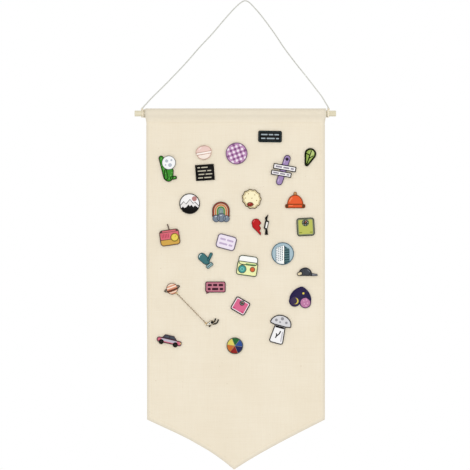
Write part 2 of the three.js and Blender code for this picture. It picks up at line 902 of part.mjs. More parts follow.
// Where each pin's post goes through the canvas: x from the middle of the banner and drop from the dowel's
// axis, then the tilt of its plate, positive where it falls to the right, its outlines and its main colour
const pins = [
  ['cactus', fromLeft(29.7), 77.7, 0, cactus(), 0x4f9a3c],
  ['macaron', -44.3, 55.3, -10, macaron(), 0xf0cfc4],
  ['gingham', 1.4, 56, -20, gingham(), 0xb9a3cf],
  ['label_black', 48.2, 32.3, 1, blackLabel(), 0x1c1a19],
  ['leaf', fromRight(21.4), 61.2, 0, leaf(), 0xc6d98b],
  ['note_black', -42.9, 82.6, -4, blackNote(), 0x15130f],
  ['signpost', 66.8, 79.4, 0, signpost(), 0xa48fb8],
  ['mountain', -64.3, 126.3, 0, mountain(), 0xe9e4df],
  ['biscuit', 21.9, 120, 0, biscuit(), 0xf3e6bd],
  ['rainbow', -20.5, 137.6, 0, rainbow(), 0xd98a6a],
  ['bell', fromRight(41.6), 121.4, 0, bell(), 0xd8572f],
  ['radio_pink', fromLeft(32.9), 173.6, -8, pinkRadio(), 0xe5848a],
  ['tag_lilac', -13, 180.2, 15, lilacTag(), 0xdccfe4],
  ['half_heart', 29.3, 158.9, 0, halfHeart(), 0xc8373c],
  ['bolt', 43.3, 155.5, 0, bolt(), 0x14120f],
  ['scale_lime', fromRight(27), 158.8, -3, scale(25.1, 25.5, 4, 5), 0xc9cf6a],
  ['tower', 65.9, 196.1, 0, tower(), 0xa9c4cf],
  ['mitten', -42.4, 205.1, 0, mitten(), 0x47777a],
  ['boombox', 16.7, 213.1, 8, boombox(), 0xd9d05a],
  ['cap', fromRight(24.6), 221.5, 0, cap(), 0x8f8f93],
  ['planet', fromLeft(36.1), 245.3, 0, planet(), 0xe9b3a0],
  ['rocket', -33.1, 292.6, 0, rocket(), 0xf2f0ea],
  ['speech', -28.2, 242.9, 0, speech(), 0xd893ae],
  ['scale_pink', 6.7, 269.5, 30, scale(22.4, 20.4, 3, 3.6), 0xe9a3b6],
  ['heart', fromRight(33.9), 256.9, 8, heart(), 0xd88bb0],
  ['car', fromLeft(32.3), 317.8, 13, car(), 0xe08a9c],
  ['colour_wheel', -1, 325.1, 0, colourWheel(), 0xe3b44a],
  ['mushroom', 61.2, 302.1, 15, mushroom(), 0xf1eff0],
];

function placeOf(wanted) {
  const [, x, drop] = pins.find(([name]) => name === wanted);
  return new THREE.Vector2(x, -drop);
}

// The chain runs straight between the eyelets of the planet and the rocket
const noseCentre = new THREE.Vector2(...rocketNose);
const chainWay = placeOf('rocket').add(noseCentre).sub(placeOf('planet')).normalize();
const eyeletReach = eyeletHole + eyeletWall / 2;
const eyelets = {
  planet: chainWay.clone().multiplyScalar(planetRadius + eyeletHole),
  rocket: noseCentre.clone().addScaledVector(chainWay, -rocketNoseRadius - eyeletHole),
};

// A thin ring at the front of a plate, for the chain's jump ring
function addEyelet(plate, { x, y }) {
  const base = plateThickness - eyeletThickness;
  const edge = disc(x, y, eyeletHole + eyeletWall, smallSteps);
  const hole = disc(x, y, eyeletHole, smallSteps);
  return plate
    .subtract(slab(edge, -cutPast, base + cutPast))
    .add(slab(edge, base, eyeletThickness))
    .subtract(slab(hole, -cutPast, plateThickness + 2 * cutPast));
}

function buildPlate(name, { plates, cells, rims = [], inlays = [] }) {
  const floor = plateThickness - enamelRecess;
  const depth = enamelRecess + cutPast;
  let plate = join(plates.map((points) => slab(points, 0, plateThickness)));
  let sunk = join(cells.map((points) => slab(points, floor, depth)));
  for (const points of rims) sunk = sunk.subtract(slab(points, floor - cutPast, depth + 2 * cutPast));
  for (const points of inlays) sunk = sunk.add(slab(points, floor, depth));
  plate = plate.subtract(sunk);
  return eyelets[name] ? addEyelet(plate, eyelets[name]) : plate;
}

// Each pin with its post, the hole it takes in the canvas, and its clutch behind
function buildPins() {
  const post = buildPost();
  const clutch = buildClutch();
  const hole = postDiameter / 2 + holeClearance;
  const holes = [];
  for (const [name, x, drop, tilt, motif, color] of pins) {
    const front = new THREE.Group();
    front.rotation.set(Math.PI / 2, 0, 0);
    front.position.set(bannerCentreX + x, -clothThickness - plateGap, -dowelDrop - drop);
    object.add(front);
    const turn = new THREE.Group();
    turn.rotation.z = -tilt * degrees;
    front.add(turn);
    addPart(`pin_${name}`, buildPlate(name, motif).add(post), enamelFinish(color), turn);
    const behind = new THREE.Group();
    behind.position.z = -plateGap - clothThickness - clutchGap;
    turn.add(behind);
    addPart(`clutch_${name}`, clutch, brassFinish, behind);
    holes.push(standing(disc(x, -drop, hole, holeSides), -hubHeight, hubHeight * 2));
  }
  return holes;
}

// Links by turns flat and on edge, sunk a little into each other, and a jump ring at each end
function buildChain() {
  const link = new THREE.TorusGeometry(linkWidth / 2 - linkWire / 2, linkWire / 2, linkSides, linkSteps);
  link.scale((linkLength - linkWire) / (linkWidth - linkWire), 1, 1);
  const ring = new THREE.TorusGeometry(jumpRingRadius, linkWire / 2, linkSides, ringSteps);
  ring.rotateX(Math.PI / 2);
  const start = placeOf('planet').add(eyelets.planet).addScaledVector(chainWay, eyeletReach);
  const end = placeOf('rocket').add(eyelets.rocket).addScaledVector(chainWay, -eyeletReach);
  const length = end.distanceTo(start);
  const clear = length - 2 * jumpRingRadius;
  const count = Math.round(clear / (linkLength - 2 * linkWire) / 2) * 2 + 1;
  const pitch = (clear + linkWire) / count;
  const stretch = (pitch + linkWire - linkSink * 2) / linkLength;
  const links = [toSolid(ring.clone()), toSolid(ring.clone().translate(length, 0, 0))];
  for (let i = 0; i < count; i++) {
    const copy = link.clone();
    copy.scale(stretch + 2 * linkSink / linkLength, 1, 1);
    if (i % 2 === 1) copy.rotateX(Math.PI / 2);
    copy.translate(jumpRingRadius - linkWire / 2 + pitch * (i + 0.5), 0, 0);
    links.push(toSolid(copy));
  }
  const place = new THREE.Group();
  const height = plateThickness - eyeletThickness / 2;
  place.rotation.set(Math.PI / 2, 0, 0);
  place.position.set(bannerCentreX + start.x, -clothThickness - plateGap - height, -dowelDrop + start.y);
  const turn = new THREE.Group();
  turn.rotation.z = chainWay.angle();
  place.add(turn);
  object.add(place);
  addPart('link_chain', join(links), brassFinish, turn);
}

buildDowel();
buildCord();
buildBanner(buildPins());
buildChain();

export default object;
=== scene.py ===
import json
import math
import bpy
from mathutils import Matrix, Vector
from mathutils.geometry import interpolate_bezier

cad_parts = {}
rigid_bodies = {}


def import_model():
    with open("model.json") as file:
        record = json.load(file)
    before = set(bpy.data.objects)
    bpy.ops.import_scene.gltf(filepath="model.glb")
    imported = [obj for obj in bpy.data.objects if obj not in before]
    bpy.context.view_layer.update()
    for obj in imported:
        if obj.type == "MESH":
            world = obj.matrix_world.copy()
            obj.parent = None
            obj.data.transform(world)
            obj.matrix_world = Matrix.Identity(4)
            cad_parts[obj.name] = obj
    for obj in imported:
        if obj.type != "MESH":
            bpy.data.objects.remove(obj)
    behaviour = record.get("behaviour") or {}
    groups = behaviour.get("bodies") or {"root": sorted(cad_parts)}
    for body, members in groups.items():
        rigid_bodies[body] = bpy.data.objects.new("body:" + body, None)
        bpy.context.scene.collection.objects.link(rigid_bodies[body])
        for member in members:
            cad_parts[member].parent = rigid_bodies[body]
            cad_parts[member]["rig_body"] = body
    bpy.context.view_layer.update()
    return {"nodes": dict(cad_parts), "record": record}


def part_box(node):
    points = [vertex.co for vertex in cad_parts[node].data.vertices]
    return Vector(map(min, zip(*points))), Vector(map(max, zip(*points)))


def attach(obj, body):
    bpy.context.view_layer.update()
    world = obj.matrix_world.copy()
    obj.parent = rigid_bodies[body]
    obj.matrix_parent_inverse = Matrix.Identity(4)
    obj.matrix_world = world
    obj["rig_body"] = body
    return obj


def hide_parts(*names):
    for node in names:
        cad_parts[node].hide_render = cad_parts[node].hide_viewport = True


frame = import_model()
mm = 0.001  # everything is modelled in millimetres and brought to metres when it is placed


# Selecting, applying and placing

def pick(*pieces):
    if bpy.context.object and bpy.context.object.mode != "OBJECT":
        bpy.ops.object.mode_set(mode="OBJECT")
    bpy.ops.object.select_all(action="DESELECT")
    for piece in pieces:
        piece.select_set(True)
    bpy.context.view_layer.objects.active = pieces[0]


def editAll(*pieces):
    pick(*pieces)
    bpy.ops.object.mode_set(mode="EDIT")
    bpy.ops.mesh.select_mode(type="VERT")
    bpy.ops.mesh.select_all(action="SELECT")


# Selects the points that pass a test, or the edges whose two ends do
def editWhere(piece, test, kind="VERT"):
    editAll(piece)
    bpy.ops.mesh.select_mode(type=kind)
    bpy.ops.mesh.select_all(action="DESELECT")
    bpy.ops.object.mode_set(mode="OBJECT")
    points = piece.data.vertices
    for item in points if kind == "VERT" else piece.data.edges:
        ends = [item] if kind == "VERT" else [points[i] for i in item.vertices]
        item.select = all(test(end.co) for end in ends)
    bpy.ops.object.mode_set(mode="EDIT")


def toMesh(*pieces):
    pick(*pieces)
    bpy.ops.object.convert(target="MESH")


def applyAll(piece):
    pick(piece)
    bpy.ops.object.transform_apply(location=True, rotation=True, scale=True)
    for modifier in list(piece.modifiers):
        bpy.ops.object.modifier_apply(modifier=modifier.name)


def weld(*pieces):
    editAll(*pieces)
    bpy.ops.mesh.remove_doubles(threshold=0.0005)
    bpy.ops.mesh.normals_make_consistent(inside=False)
    bpy.ops.object.mode_set(mode="OBJECT")


def joined(pieces):
    pick(*pieces)
    if len(pieces) > 1:
        bpy.ops.object.join()
    return pieces[0]


def copyOf(model):
    piece = model.copy()
    piece.data = model.data.copy()
    bpy.context.collection.objects.link(piece)
    return piece


def finishPiece(piece, name, place, body, node=None, slot=None, angle=35):
    applyAll(piece)
    piece.data.transform(place @ Matrix.Scale(mm, 4))
    bpy.ops.object.shade_smooth_by_angle(angle=math.radians(angle))
    piece.name = piece.data.name = name
    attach(piece, body)
    if node:
        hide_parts(node)
    return piece


# Outlines in a plane, in millimetres

def arc(x, y, radius, start, end, steps=20, radiusY=None):
    radiusY = radius if radiusY is None else radiusY
    angles = [math.radians(start + (end - start) * i / steps) for i in range(steps + 1)]
    return [(x + radius * math.cos(a), y + radiusY * math.sin(a)) for a in angles]


def disc(x, y, radius, steps=56, radiusY=None):
    return arc(x, y, radius, 0, 360 - 360 / steps, steps - 1, radiusY)


def box(x, y, width, height, corner=0.4, steps=6):
    points = []
    for sideX, sideY, start in ((1, 1, 0), (-1, 1, 90), (-1, -1, 180), (1, -1, 270)):
        middle = (x + sideX * (width / 2 - corner), y + sideY * (height / 2 - corner))
        points += arc(*middle, corner, start, start + 90, steps)
    return points


def taper(x0, y0, r0, x1, y1, r1, steps=14):
    away, angle = math.hypot(x1 - x0, y1 - y0), math.degrees(math.atan2(y1 - y0, x1 - x0))
    lean = math.degrees(math.acos((r0 - r1) / away))
    return arc(x1, y1, r1, angle - lean, angle + lean, steps) + \
        arc(x0, y0, r0, angle + lean, angle - lean + 360, steps)


def capsule(x0, y0, x1, y1, width):
    return taper(x0, y0, width / 2, x1, y1, width / 2)


def stroke(points, width):
    left, right = [], []
    for i, (x, y) in enumerate(points):
        (ax, ay), (bx, by) = points[max(i - 1, 0)], points[min(i + 1, len(points) - 1)]
        long = math.hypot(bx - ax, by - ay)
        sx, sy = -(by - ay) / long * width / 2, (bx - ax) / long * width / 2
        left.append((x + sx, y + sy))
        right.append((x - sx, y - sy))
    return left + right[::-1]


def spun(points, angle, x=0, y=0):
    c, s = math.cos(math.radians(angle)), math.sin(math.radians(angle))
    return [(x + px * c - py * s, y + px * s + py * c) for px, py in points]


def chordBand(radius, low, high, steps=8):
    low, high = max(low, -radius), min(high, radius)
    start, end = math.degrees(math.asin(low / radius)), math.degrees(math.asin(high / radius))
    return arc(0, 0, radius, start, end, steps) + arc(0, 0, radius, 180 - end, 180 - start, steps)


# An outline drawn in by a distance. A side that would turn round is left out.
def drawnIn(points, distance):
    points = [p for p, q in zip(points, points[1:] + points[:1]) if math.dist(p, q) > 1e-6]
    turning = sum(p[0] * q[1] - q[0] * p[1] for p, q in zip(points, points[1:] + points[:1]))
    side = distance if turning > 0 else -distance
    lines = []
    for p, q in zip(points, points[1:] + points[:1]):
        long = math.dist(p, q)
        dx, dy = (q[0] - p[0]) / long, (q[1] - p[1]) / long
        lines.append((p[0] - dy * side, p[1] + dx * side, dx, dy))
    while True:
        corners = []
        for (ax, ay, adx, ady), (bx, by, bdx, bdy) in zip(lines[-1:] + lines[:-1], lines):
            cross = adx * bdy - ady * bdx
            t = 0 if abs(cross) < 1e-6 else ((bx - ax) * ady - (by - ay) * adx) / cross
            corners.append((bx + bdx * t, by + bdy * t))
        spans = [(q[0] - p[0]) * dx + (q[1] - p[1]) * dy for p, q, (_, _, dx, dy)
                 in zip(corners, corners[1:] + corners[:1], lines)]
        if min(spans) > 0:
            return corners
        lines.pop(spans.index(min(spans)))


# Shapes from outlines

def polyCurve(name, outlines, closed=False):
    curve = bpy.data.curves.new(name, "CURVE")
    curve.dimensions = "3D"
    for points in outlines:
        spline = curve.splines.new("POLY")
        spline.points.add(len(points) - 1)
        for point, place in zip(spline.points, points):
            point.co = (*Vector(place).to_3d(), 1)
        spline.use_cyclic_u = closed
    piece = bpy.data.objects.new(name, curve)
    bpy.context.collection.objects.link(piece)
    return piece


# A flat shape with softened edges, from one height to another
def flatSolid(outlines, low, high, soften):
    piece = polyCurve("flat", outlines, True)
    curve = piece.data
    curve.dimensions, curve.fill_mode = "2D", "BOTH"
    curve.extrude = (high - low) / 2 - soften
    curve.bevel_depth, curve.bevel_resolution, curve.offset = soften, 1, -soften
    piece.location.z = (low + high) / 2
    return piece


# A profile of radius and height, spun round z
def turned(profile, steps):
    piece = polyCurve("profile", [[(radius, 0, height) for radius, height in profile]])
    toMesh(piece)
    editAll(piece)
    bpy.ops.mesh.spin(steps=steps, angle=2 * math.pi, center=(0, 0, 0), axis=(0, 0, 1))
    weld(piece)
    return piece


# Shader maths

class Shade:
    def __init__(self, tree, socket=None):
        self.tree, self.socket = tree, socket

    def node(self, kind, settings=None, inputs=None, output=0):
        made = self.tree.nodes.new("ShaderNode" + kind)
        for name, value in (settings or {}).items():
            setattr(made, name, value)
        for name, value in (inputs or {}).items():
            if isinstance(value, Shade):
                self.tree.links.new(value.socket, made.inputs[name])
            else:
                made.inputs[name].default_value = value
        return Shade(self.tree, made.outputs[output])

    def sums(self, operation, first, second=0.0):
        return self.node("Math", {"operation": operation}, {0: first, 1: second})

    def __add__(self, other):
        return self.sums("ADD", self, other)

    def __sub__(self, other):
        return self.sums("SUBTRACT", self, other)

    def __rsub__(self, other):
        return self.sums("SUBTRACT", other, self)

    def __mul__(self, other):
        return self.sums("MULTIPLY", self, other)

    __radd__, __rmul__ = __add__, __mul__

    def sin(self):
        return self.sums("SINE", self)

    def floor(self):
        return self.sums("FLOOR", self)

    def parity(self):
        return self.sums("PINGPONG", self, 1.0)

    def between(self, low, high):
        return self.node("MapRange", None, {"Value": self, "From Min": low, "From Max": high})

    def mix(self, first, second):
        return self.node("Mix", {"data_type": "RGBA"}, {0: self, 6: first, 7: second}, 2)

    def blend(self, first, second):
        return self * second + (1 - self) * first

    def bump(self, distance, strength):
        return self.node("Bump", None, {"Height": self, "Distance": distance, "Strength": strength})


def startMaterial(name):
    material = bpy.data.materials.new(name)
    material.use_nodes = True
    material.node_tree.nodes.clear()
    shade = Shade(material.node_tree)
    return material, shade, shade.node("TexCoord", output=3)


def showSurface(tree, surface, kind="Material"):
    tree.links.new(surface.socket, tree.nodes.new("ShaderNodeOutput" + kind).inputs["Surface"])


def endMaterial(material, shade, inputs):
    showSurface(material.node_tree, shade.node("BsdfPrincipled", None, inputs))
    return material


def noise(shade, place, stretch, detail=2.0):
    spread = shade.node("Mapping", None, {"Vector": place, "Scale": stretch})
    return shade.node("TexNoise", None, {"Vector": spread, "Scale": 1.0, "Detail": detail})


def tint(code):
    parts = [int(code[i:i + 2], 16) / 255 for i in (1, 3, 5)]
    return [((c + 0.055) / 1.055) ** 2.4 if c > 0.04045 else c / 12.92 for c in parts] + [1.0]


# Materials. A bump is a distance in metres and a strength.

# the fold tone is painted shade for the cloth's folded edges and its sleeve
clothLook = {"ground": "#f1e8d5", "shade": "#e9ddc6", "foldShade": "#dfd6c3", "fleck": "#b59a74", "pitch": 0.62,
             "sunk": 0.45, "slub": 0.3, "slubDown": (1400, 300, 34), "slubAcross": (30, 300, 1300),
             "cloud": (16, 16, 16), "toneMix": (0.5, 0.6, 0.25, -0.45), "toneFrom": (0.1, 0.75),
             "specks": (420, 420, 420), "specksFrom": (0.79, 0.83), "speckShare": 0.55,
             "foldShadeWide": (0.6, 4.5), "bump": (0.00016, 0.7), "rough": 0.92, "specular": 0.12}


def clothMaterial():
    look = clothLook
    material, shade, place = startMaterial("canvas_weave")
    across, down = (shade.node("SeparateXYZ", None, {0: place}, i) * (1 / look["pitch"] / mm) for i in (0, 2))
    warp, weft = (across * math.pi).sin(), (down * math.pi).sin()
    warp, weft = warp * warp, weft * weft
    over, flat = (across.floor() + down.floor()).parity(), 1 - look["sunk"]
    slubs = [noise(shade, place, look[name]) for name in ("slubDown", "slubAcross")]
    height = over.blend(warp * (flat + weft * look["sunk"]), weft * (flat + warp * look["sunk"]))
    height = height * (1 - look["slub"] + (slubs[0] + slubs[1]) * look["slub"])
    slubShare, cloudShare, gapShadeShare, start = look["toneMix"]
    cloud = noise(shade, place, look["cloud"], 3.0)
    # painted shade: the low parts of the weave between the threads are painted darker, on top of the random
    # tone
    tone = (slubs[0] + slubs[1]) * slubShare + cloud * cloudShare + start + (1 - height) * gapShadeShare
    colour = tone.between(*look["toneFrom"]).mix(tint(look["ground"]), tint(look["shade"]))
    specks = noise(shade, place, look["specks"], 1.0).between(*look["specksFrom"])
    colour = (specks * look["speckShare"]).mix(colour, tint(look["fleck"]))
    # painted shade: the fold tone darkens the cloth near its folded edges and over the sleeve, read from the
    # edge attribute
    edge = shade.node("Attribute", {"attribute_name": "edge"}, output=2)
    colour = (1 - edge.between(*look["foldShadeWide"])).mix(colour, tint(look["foldShade"]))
    return endMaterial(material, shade, {"Base Color": colour, "Roughness": look["rough"],
                                         "Specular IOR Level": look["specular"],
                                         "Normal": height.bump(*look["bump"])})


fibreLook = {"from": (0.3, 0.75), "bump": (0.00015, 0.5), "rough": 0.8, "specular": 0.15}
threadLook = {"tones": ("#f3e9d3", "#dccdae"), "fineness": 900}
# the windings' paler tones are painted light, used below the given heights in metres
cottonLook = {"tones": ("#dfdfd9", "#b9bab2"), "fineness": 1600, "wound": ("#fbf2de", "#ede0c8"),
              "woundBelow": (-0.1485, -0.1515)}


# The windings of the cord are painted paler than its free part, as painted light that lifts the shade between
# the tight turns
def fibreMaterial(name, look):
    material, shade, place = startMaterial(name)
    fibre = noise(shade, place, [look["fineness"]] * 3)
    tones = [tint(code) for code in look["tones"]]
    # painted light: below the given height the cord takes the paler tones of its windings
    if "wound" in look:
        low = shade.node("SeparateXYZ", None, {0: place}, 2).between(*look["woundBelow"])
        tones = [low.mix(free, tint(wound)) for free, wound in zip(tones, look["wound"])]
    return endMaterial(material, shade, {"Base Color": fibre.between(*fibreLook["from"]).mix(*tones),
                                         "Roughness": fibreLook["rough"],
                                         "Specular IOR Level": fibreLook["specular"],
                                         "Normal": fibre.bump(*fibreLook["bump"])})


woodLook = {"pale": "#dfd8c0", "grain": "#cfc5a4", "pore": "#ab9a74", "bend": (5, 40, 40),
            "rings": (9, 420, 420), "grainMix": (0.8, 0.5, -0.15), "grainFrom": (0.3, 0.72),
            "pores": (60, 2600, 2600), "poresFrom": (0.62, 0.74), "poreShare": 0.4, "poreDeep": 0.5,
            "bump": (0.0001, 0.4), "rough": (0.6, 0.15)}


def woodMaterial():
    look = woodLook
    material, shade, place = startMaterial("pale_wood")
    bend, rings = noise(shade, place, look["bend"]), noise(shade, place, look["rings"], 3.0)
    pores = noise(shade, place, look["pores"]).between(*look["poresFrom"])
    ringShare, bendShare, start = look["grainMix"]
    grain = (rings * ringShare + bend * bendShare + start).between(*look["grainFrom"])
    colour = grain.mix(tint(look["pale"]), tint(look["grain"]))
    colour = (pores * look["poreShare"]).mix(colour, tint(look["pore"]))
    rough, change = look["rough"]
    return endMaterial(material, shade, {"Base Color": colour, "Roughness": rough + bend * change,
                                         "Normal": (rings - pores * look["poreDeep"]).bump(*look["bump"])})


enamelLook = {"dirt": "#5a544c", "mottle": 0.035, "cloud": (240, 240, 240), "worn": (900, 900, 900),
              "rough": (0.22, 0.14), "specular": 0.055, "bump": (0.0003, 0.08)}


def enamelMaterial():
    look = enamelLook
    material, shade, place = startMaterial("hard_enamel")
    paint = shade.node("Attribute", {"attribute_name": "paint"})
    cloud, worn = noise(shade, place, look["cloud"], 3.0), noise(shade, place, look["worn"])
    rough, change = look["rough"]
    colour = (cloud * look["mottle"]).mix(paint, tint(look["dirt"]))
    return endMaterial(material, shade, {"Base Color": colour, "Roughness": rough + worn * change,
                                         "Specular IOR Level": look["specular"],
                                         "Normal": cloud.bump(*look["bump"])})


metalLook = {"tarnish": "#4a4238", "tarnishShare": 0.25, "brushed": (2200, 500, 500), "worn": (160, 160, 160),
             "wornFrom": (0.45, 0.9), "change": 0.2, "bump": (0.00008, 0.25)}


# A metal of one colour, or of the colour that is painted on the piece
def metalMaterial(name, code, rough):
    look = metalLook
    material, shade, place = startMaterial(name)
    paint = tint(code) if code else shade.node("Attribute", {"attribute_name": "paint"})
    brushed, worn = noise(shade, place, look["brushed"]), noise(shade, place, look["worn"], 3.0)
    tarnished = worn.between(*look["wornFrom"]) * look["tarnishShare"]
    colour = tarnished.mix(paint, tint(look["tarnish"]))
    return endMaterial(material, shade, {"Base Color": colour, "Metallic": 1.0,
                                         "Roughness": rough + worn * look["change"],
                                         "Normal": brushed.bump(*look["bump"])})


looks = {"cloth": clothMaterial(), "wood": woodMaterial(), "enamel": enamelMaterial(),
         "thread": fibreMaterial("sewing_thread", threadLook),
         "cotton": fibreMaterial("cotton_cord", cottonLook),
         "plating": metalMaterial("pin_plating", None, 0.28),
         "brass": metalMaterial("clutch_brass", "#d8b25e", 0.24),
         "gold": metalMaterial("chain_gold", "#785414", 0.3)}
print("materials made")


# Dowel

dowelLow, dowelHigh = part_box("dowel")
dowelMiddle = (dowelLow + dowelHigh) / 2
dowel = {"radius": (dowelHigh.z - dowelLow.z) / 2 / mm, "length": (dowelHigh.x - dowelLow.x) / mm,
         "sides": 64, "edge": 0.7}


def buildDowel():
    bpy.ops.mesh.primitive_cylinder_add(vertices=dowel["sides"], radius=dowel["radius"],
                                        depth=dowel["length"], rotation=(0, math.pi / 2, 0))
    piece = bpy.context.object
    edge = piece.modifiers.new("edge", "BEVEL")
    edge.width, edge.segments, edge.limit_method = dowel["edge"], 3, "ANGLE"
    piece.data.materials.append(looks["wood"])
    finishPiece(piece, "wooden_dowel", Matrix.Translation(dowelMiddle), "hanger", "dowel", "pale_wood")


buildDowel()
print("dowel made")


# Canvas, measured from the dowel's axis and the middle of its width

canvasLow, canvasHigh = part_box("canvas_banner")
canvas = {"half": (canvasHigh.x - canvasLow.x) / 2 / mm, "corner": 428.5, "point": 498.5, "top": -1.0,
          "cloth": 0.84, "layer": 0.9, "foldGap": 0.02, "hem": 8, "hemGap": 0.3, "seam": 13, "flap": 16,
          "sleeve": 6.65, "sleeveSteps": 16, "closes": 12.6, "flare": 1.6, "wrap": 0.7,
          # the sleeve tone values set the painted shade on the sleeve
          "sleeveShade": (3.0, 1, 20, 5.2),
          "columns": 60, "rows": 120, "bow": (6.0, 2.4), "skew": 1.0, "drawn": 60, "tip": -2.2, "pull": 1.1,
          "pullBetween": (180, 330), "hangBetween": (340, 470), "wave": 3.2, "waveSize": 95,
          "stitch": (2.5, 0.42, 0.5), "stitchPitch": 3.1, "stitchInset": 6.6, "stitchFrom": (2, 1)}
canvasPlace = Matrix.Translation(((canvasLow.x + canvasHigh.x) / 2, 0, dowelMiddle.z))
slantAngle = math.atan2(canvas["point"] - canvas["corner"], canvas["half"])
slantOut = {side: Vector((side * math.sin(slantAngle), 0, -math.cos(slantAngle))) for side in (-1, 1)}
near = 0.1  # a point this close counts as on a line


def cutAway(place, normal):
    bpy.ops.mesh.bisect(plane_co=place, plane_no=normal, clear_outer=True)


def extrudeTo(move):
    bpy.ops.mesh.extrude_edges_move(TRANSFORM_OT_translate={"value": move})


def widen(by):
    bpy.ops.transform.resize(value=(1 + by, 1, 1), center_override=(0, 0, 0))


def eased(value, low, high):
    share = min(max((value - low) / (high - low), 0.0), 1.0)
    return share * share * (3 - 2 * share)


# How far a point lies inside the cloth's edge, at the side and at the slant
def insideBy(co):
    side = 1 if co.x > 0 else -1
    corner = Vector((side * canvas["half"], co.y, -canvas["corner"]))
    return canvas["half"] - abs(co.x), (corner - co).dot(slantOut[side])


def onOutline(co):
    return any(abs(away - canvas["layer"] / 2) < canvas["foldGap"] for away in insideBy(co))


# Painted shade along the fold: the cloth is painted darker near its folded edges, and the sleeve a little
# darker, most at its top and underneath, where the rounded cloth turns from the light.
def paintFoldShade(piece):
    layer = piece.data.attributes.new("edge", "FLOAT", "POINT")
    sleeve, middle, spread, below = canvas["sleeveShade"]
    for vertex in piece.data.vertices:
        away, z = min(insideBy(vertex.co)), vertex.co.z
        if z > near - canvas["closes"]:
            away = min(away, sleeve - (z - middle) ** 2 / spread)
        elif z > near - canvas["seam"]:
            away = min(away, below)
        layer.data[vertex.index].value = away


# The bare lower part waves a little, its two edges are drawn up between corner and tip, the tip is off-centre
# and the left side is drawn in
def drape(piece):
    moves = [("hangs", "Y", canvas["wave"], 0.5), ("bow", "Z", max(canvas["bow"]), 0),
             ("tip", "X", canvas["tip"], 0), ("pull", "X", canvas["pull"], 0)]
    groups = [piece.vertex_groups.new(name=name) for name, _, _, _ in moves]
    for vertex in piece.data.vertices:
        x, _, z = vertex.co
        inward = 1 - min(abs(x) / canvas["half"], 1)
        edge = canvas["corner"] + (canvas["point"] - canvas["corner"]) * inward
        low = eased(-z, edge - canvas["drawn"], edge)
        bowed = canvas["bow"][x > 0] / max(canvas["bow"])
        bowed *= 4 * inward * (1 - inward) * (1 + canvas["skew"] * (inward - 0.5))
        weights = (eased(-z, *canvas["hangBetween"]), bowed * low, inward * low,
                   (x < 0) * (1 - inward) * eased(-z, *canvas["pullBetween"]))
        for group, weight in zip(groups, weights):
            group.add([vertex.index], weight, "REPLACE")
    clouds = bpy.data.textures.new("waves", "CLOUDS")
    clouds.noise_scale, clouds.noise_depth = canvas["waveSize"], 0
    for name, direction, strength, middle in moves:
        move = piece.modifiers.new(name, "DISPLACE")
        move.direction, move.strength, move.mid_level, move.vertex_group = direction, strength, middle, name
        if name == "hangs":
            move.texture, move.texture_coords = clouds, "LOCAL"


def buildCanvas():
    layer, half, seam = canvas["layer"], canvas["half"] - canvas["layer"] / 2, canvas["seam"]
    top, foot = canvas["top"], -canvas["point"]
    bpy.ops.mesh.primitive_grid_add(x_subdivisions=canvas["columns"], y_subdivisions=canvas["rows"], size=1,
                                    location=(0, -layer / 2, (top + foot) / 2), rotation=(math.pi / 2, 0, 0))
    piece = bpy.context.object
    piece.scale = (half * 2, top - foot, 1)
    applyAll(piece)
    for side in (-1, 1):
        editAll(piece)
        corner = Vector((side * canvas["half"], 0, -canvas["corner"]))
        cutAway(corner - slantOut[side] * layer / 2, slantOut[side])
    # the hem lies behind as a ring, and its fold closes the edge
    editAll(piece)
    bpy.ops.mesh.duplicate()
    bpy.ops.transform.translate(value=(0, layer, 0))
    bpy.ops.mesh.inset(thickness=canvas["hem"], use_boundary=True, use_even_offset=True)
    bpy.ops.mesh.delete(type="FACE")
    editWhere(piece, lambda co: co.y > 0)
    cutAway((0, 0, -canvas["flap"] - canvas["hemGap"]), (0, 0, 1))
    editWhere(piece, lambda co: co.y < 0)
    cutAway((0, 0, -seam), (0, 0, 1))
    editWhere(piece, lambda co: co.y > 0 and onOutline(co), "EDGE")
    extrudeTo((0, canvas["foldGap"] - layer, 0))
    # the sleeve goes up the front, round the dowel and down to a flap behind
    editWhere(piece, lambda co: co.y < 0 and abs(co.z + seam) < near, "EDGE")
    closes, radius = canvas["closes"], canvas["sleeve"]
    leave = math.acos(radius / math.hypot(layer / 2, closes)) + math.atan2(layer / 2, closes)
    touch = (-radius * math.sin(leave), -radius * math.cos(leave))
    extrudeTo((0, 0, seam - closes))
    extrudeTo((0, touch[0] + layer / 2, touch[1] + closes))
    bpy.ops.mesh.spin(steps=canvas["sleeveSteps"], angle=2 * math.pi - 2 * leave, center=(0, 0, 0),
                      axis=(1, 0, 0))
    extrudeTo((0, layer / 2 + touch[0], -closes - touch[1]))
    extrudeTo((0, 0, closes - seam))
    extrudeTo((0, 0, seam - canvas["flap"]))
    # above the hems the cloth is as wide as they are, and the sleeve's open ends stand out a little
    editWhere(piece, lambda co: co.z > -canvas["flap"])
    widen(layer / 2 / half)
    editWhere(piece, lambda co: co.z > near - closes)
    widen(canvas["flare"] / half)
    weld(piece)
    paintFoldShade(piece)
    drape(piece)
    thick = piece.modifiers.new("thick", "SOLIDIFY")
    thick.thickness, thick.offset = canvas["cloth"], 0
    piece.data.materials.append(looks["cloth"])
    return finishPiece(piece, "canvas_sheet", canvasPlace, "banner", "canvas_banner", "canvas", 50)


# One row of stitches from one place to another, on the front or the back
def stitchRow(start, end, y):
    length, deep, wide = canvas["stitch"]
    bpy.ops.mesh.primitive_uv_sphere_add(segments=6, ring_count=4, radius=0.5)
    piece = bpy.context.object
    piece.scale = (wide, deep, length)
    applyAll(piece)
    row = piece.modifiers.new("row", "ARRAY")
    row.count, row.use_relative_offset = int(math.dist(start, end) / canvas["stitchPitch"]), False
    row.use_constant_offset, row.constant_offset_displace = True, (0, 0, canvas["stitchPitch"])
    bpy.ops.object.modifier_apply(modifier="row")
    piece.location = (start[0], y, start[1])
    piece.rotation_euler = (0, math.atan2(end[0] - start[0], end[1] - start[1]), 0)
    applyAll(piece)
    return piece


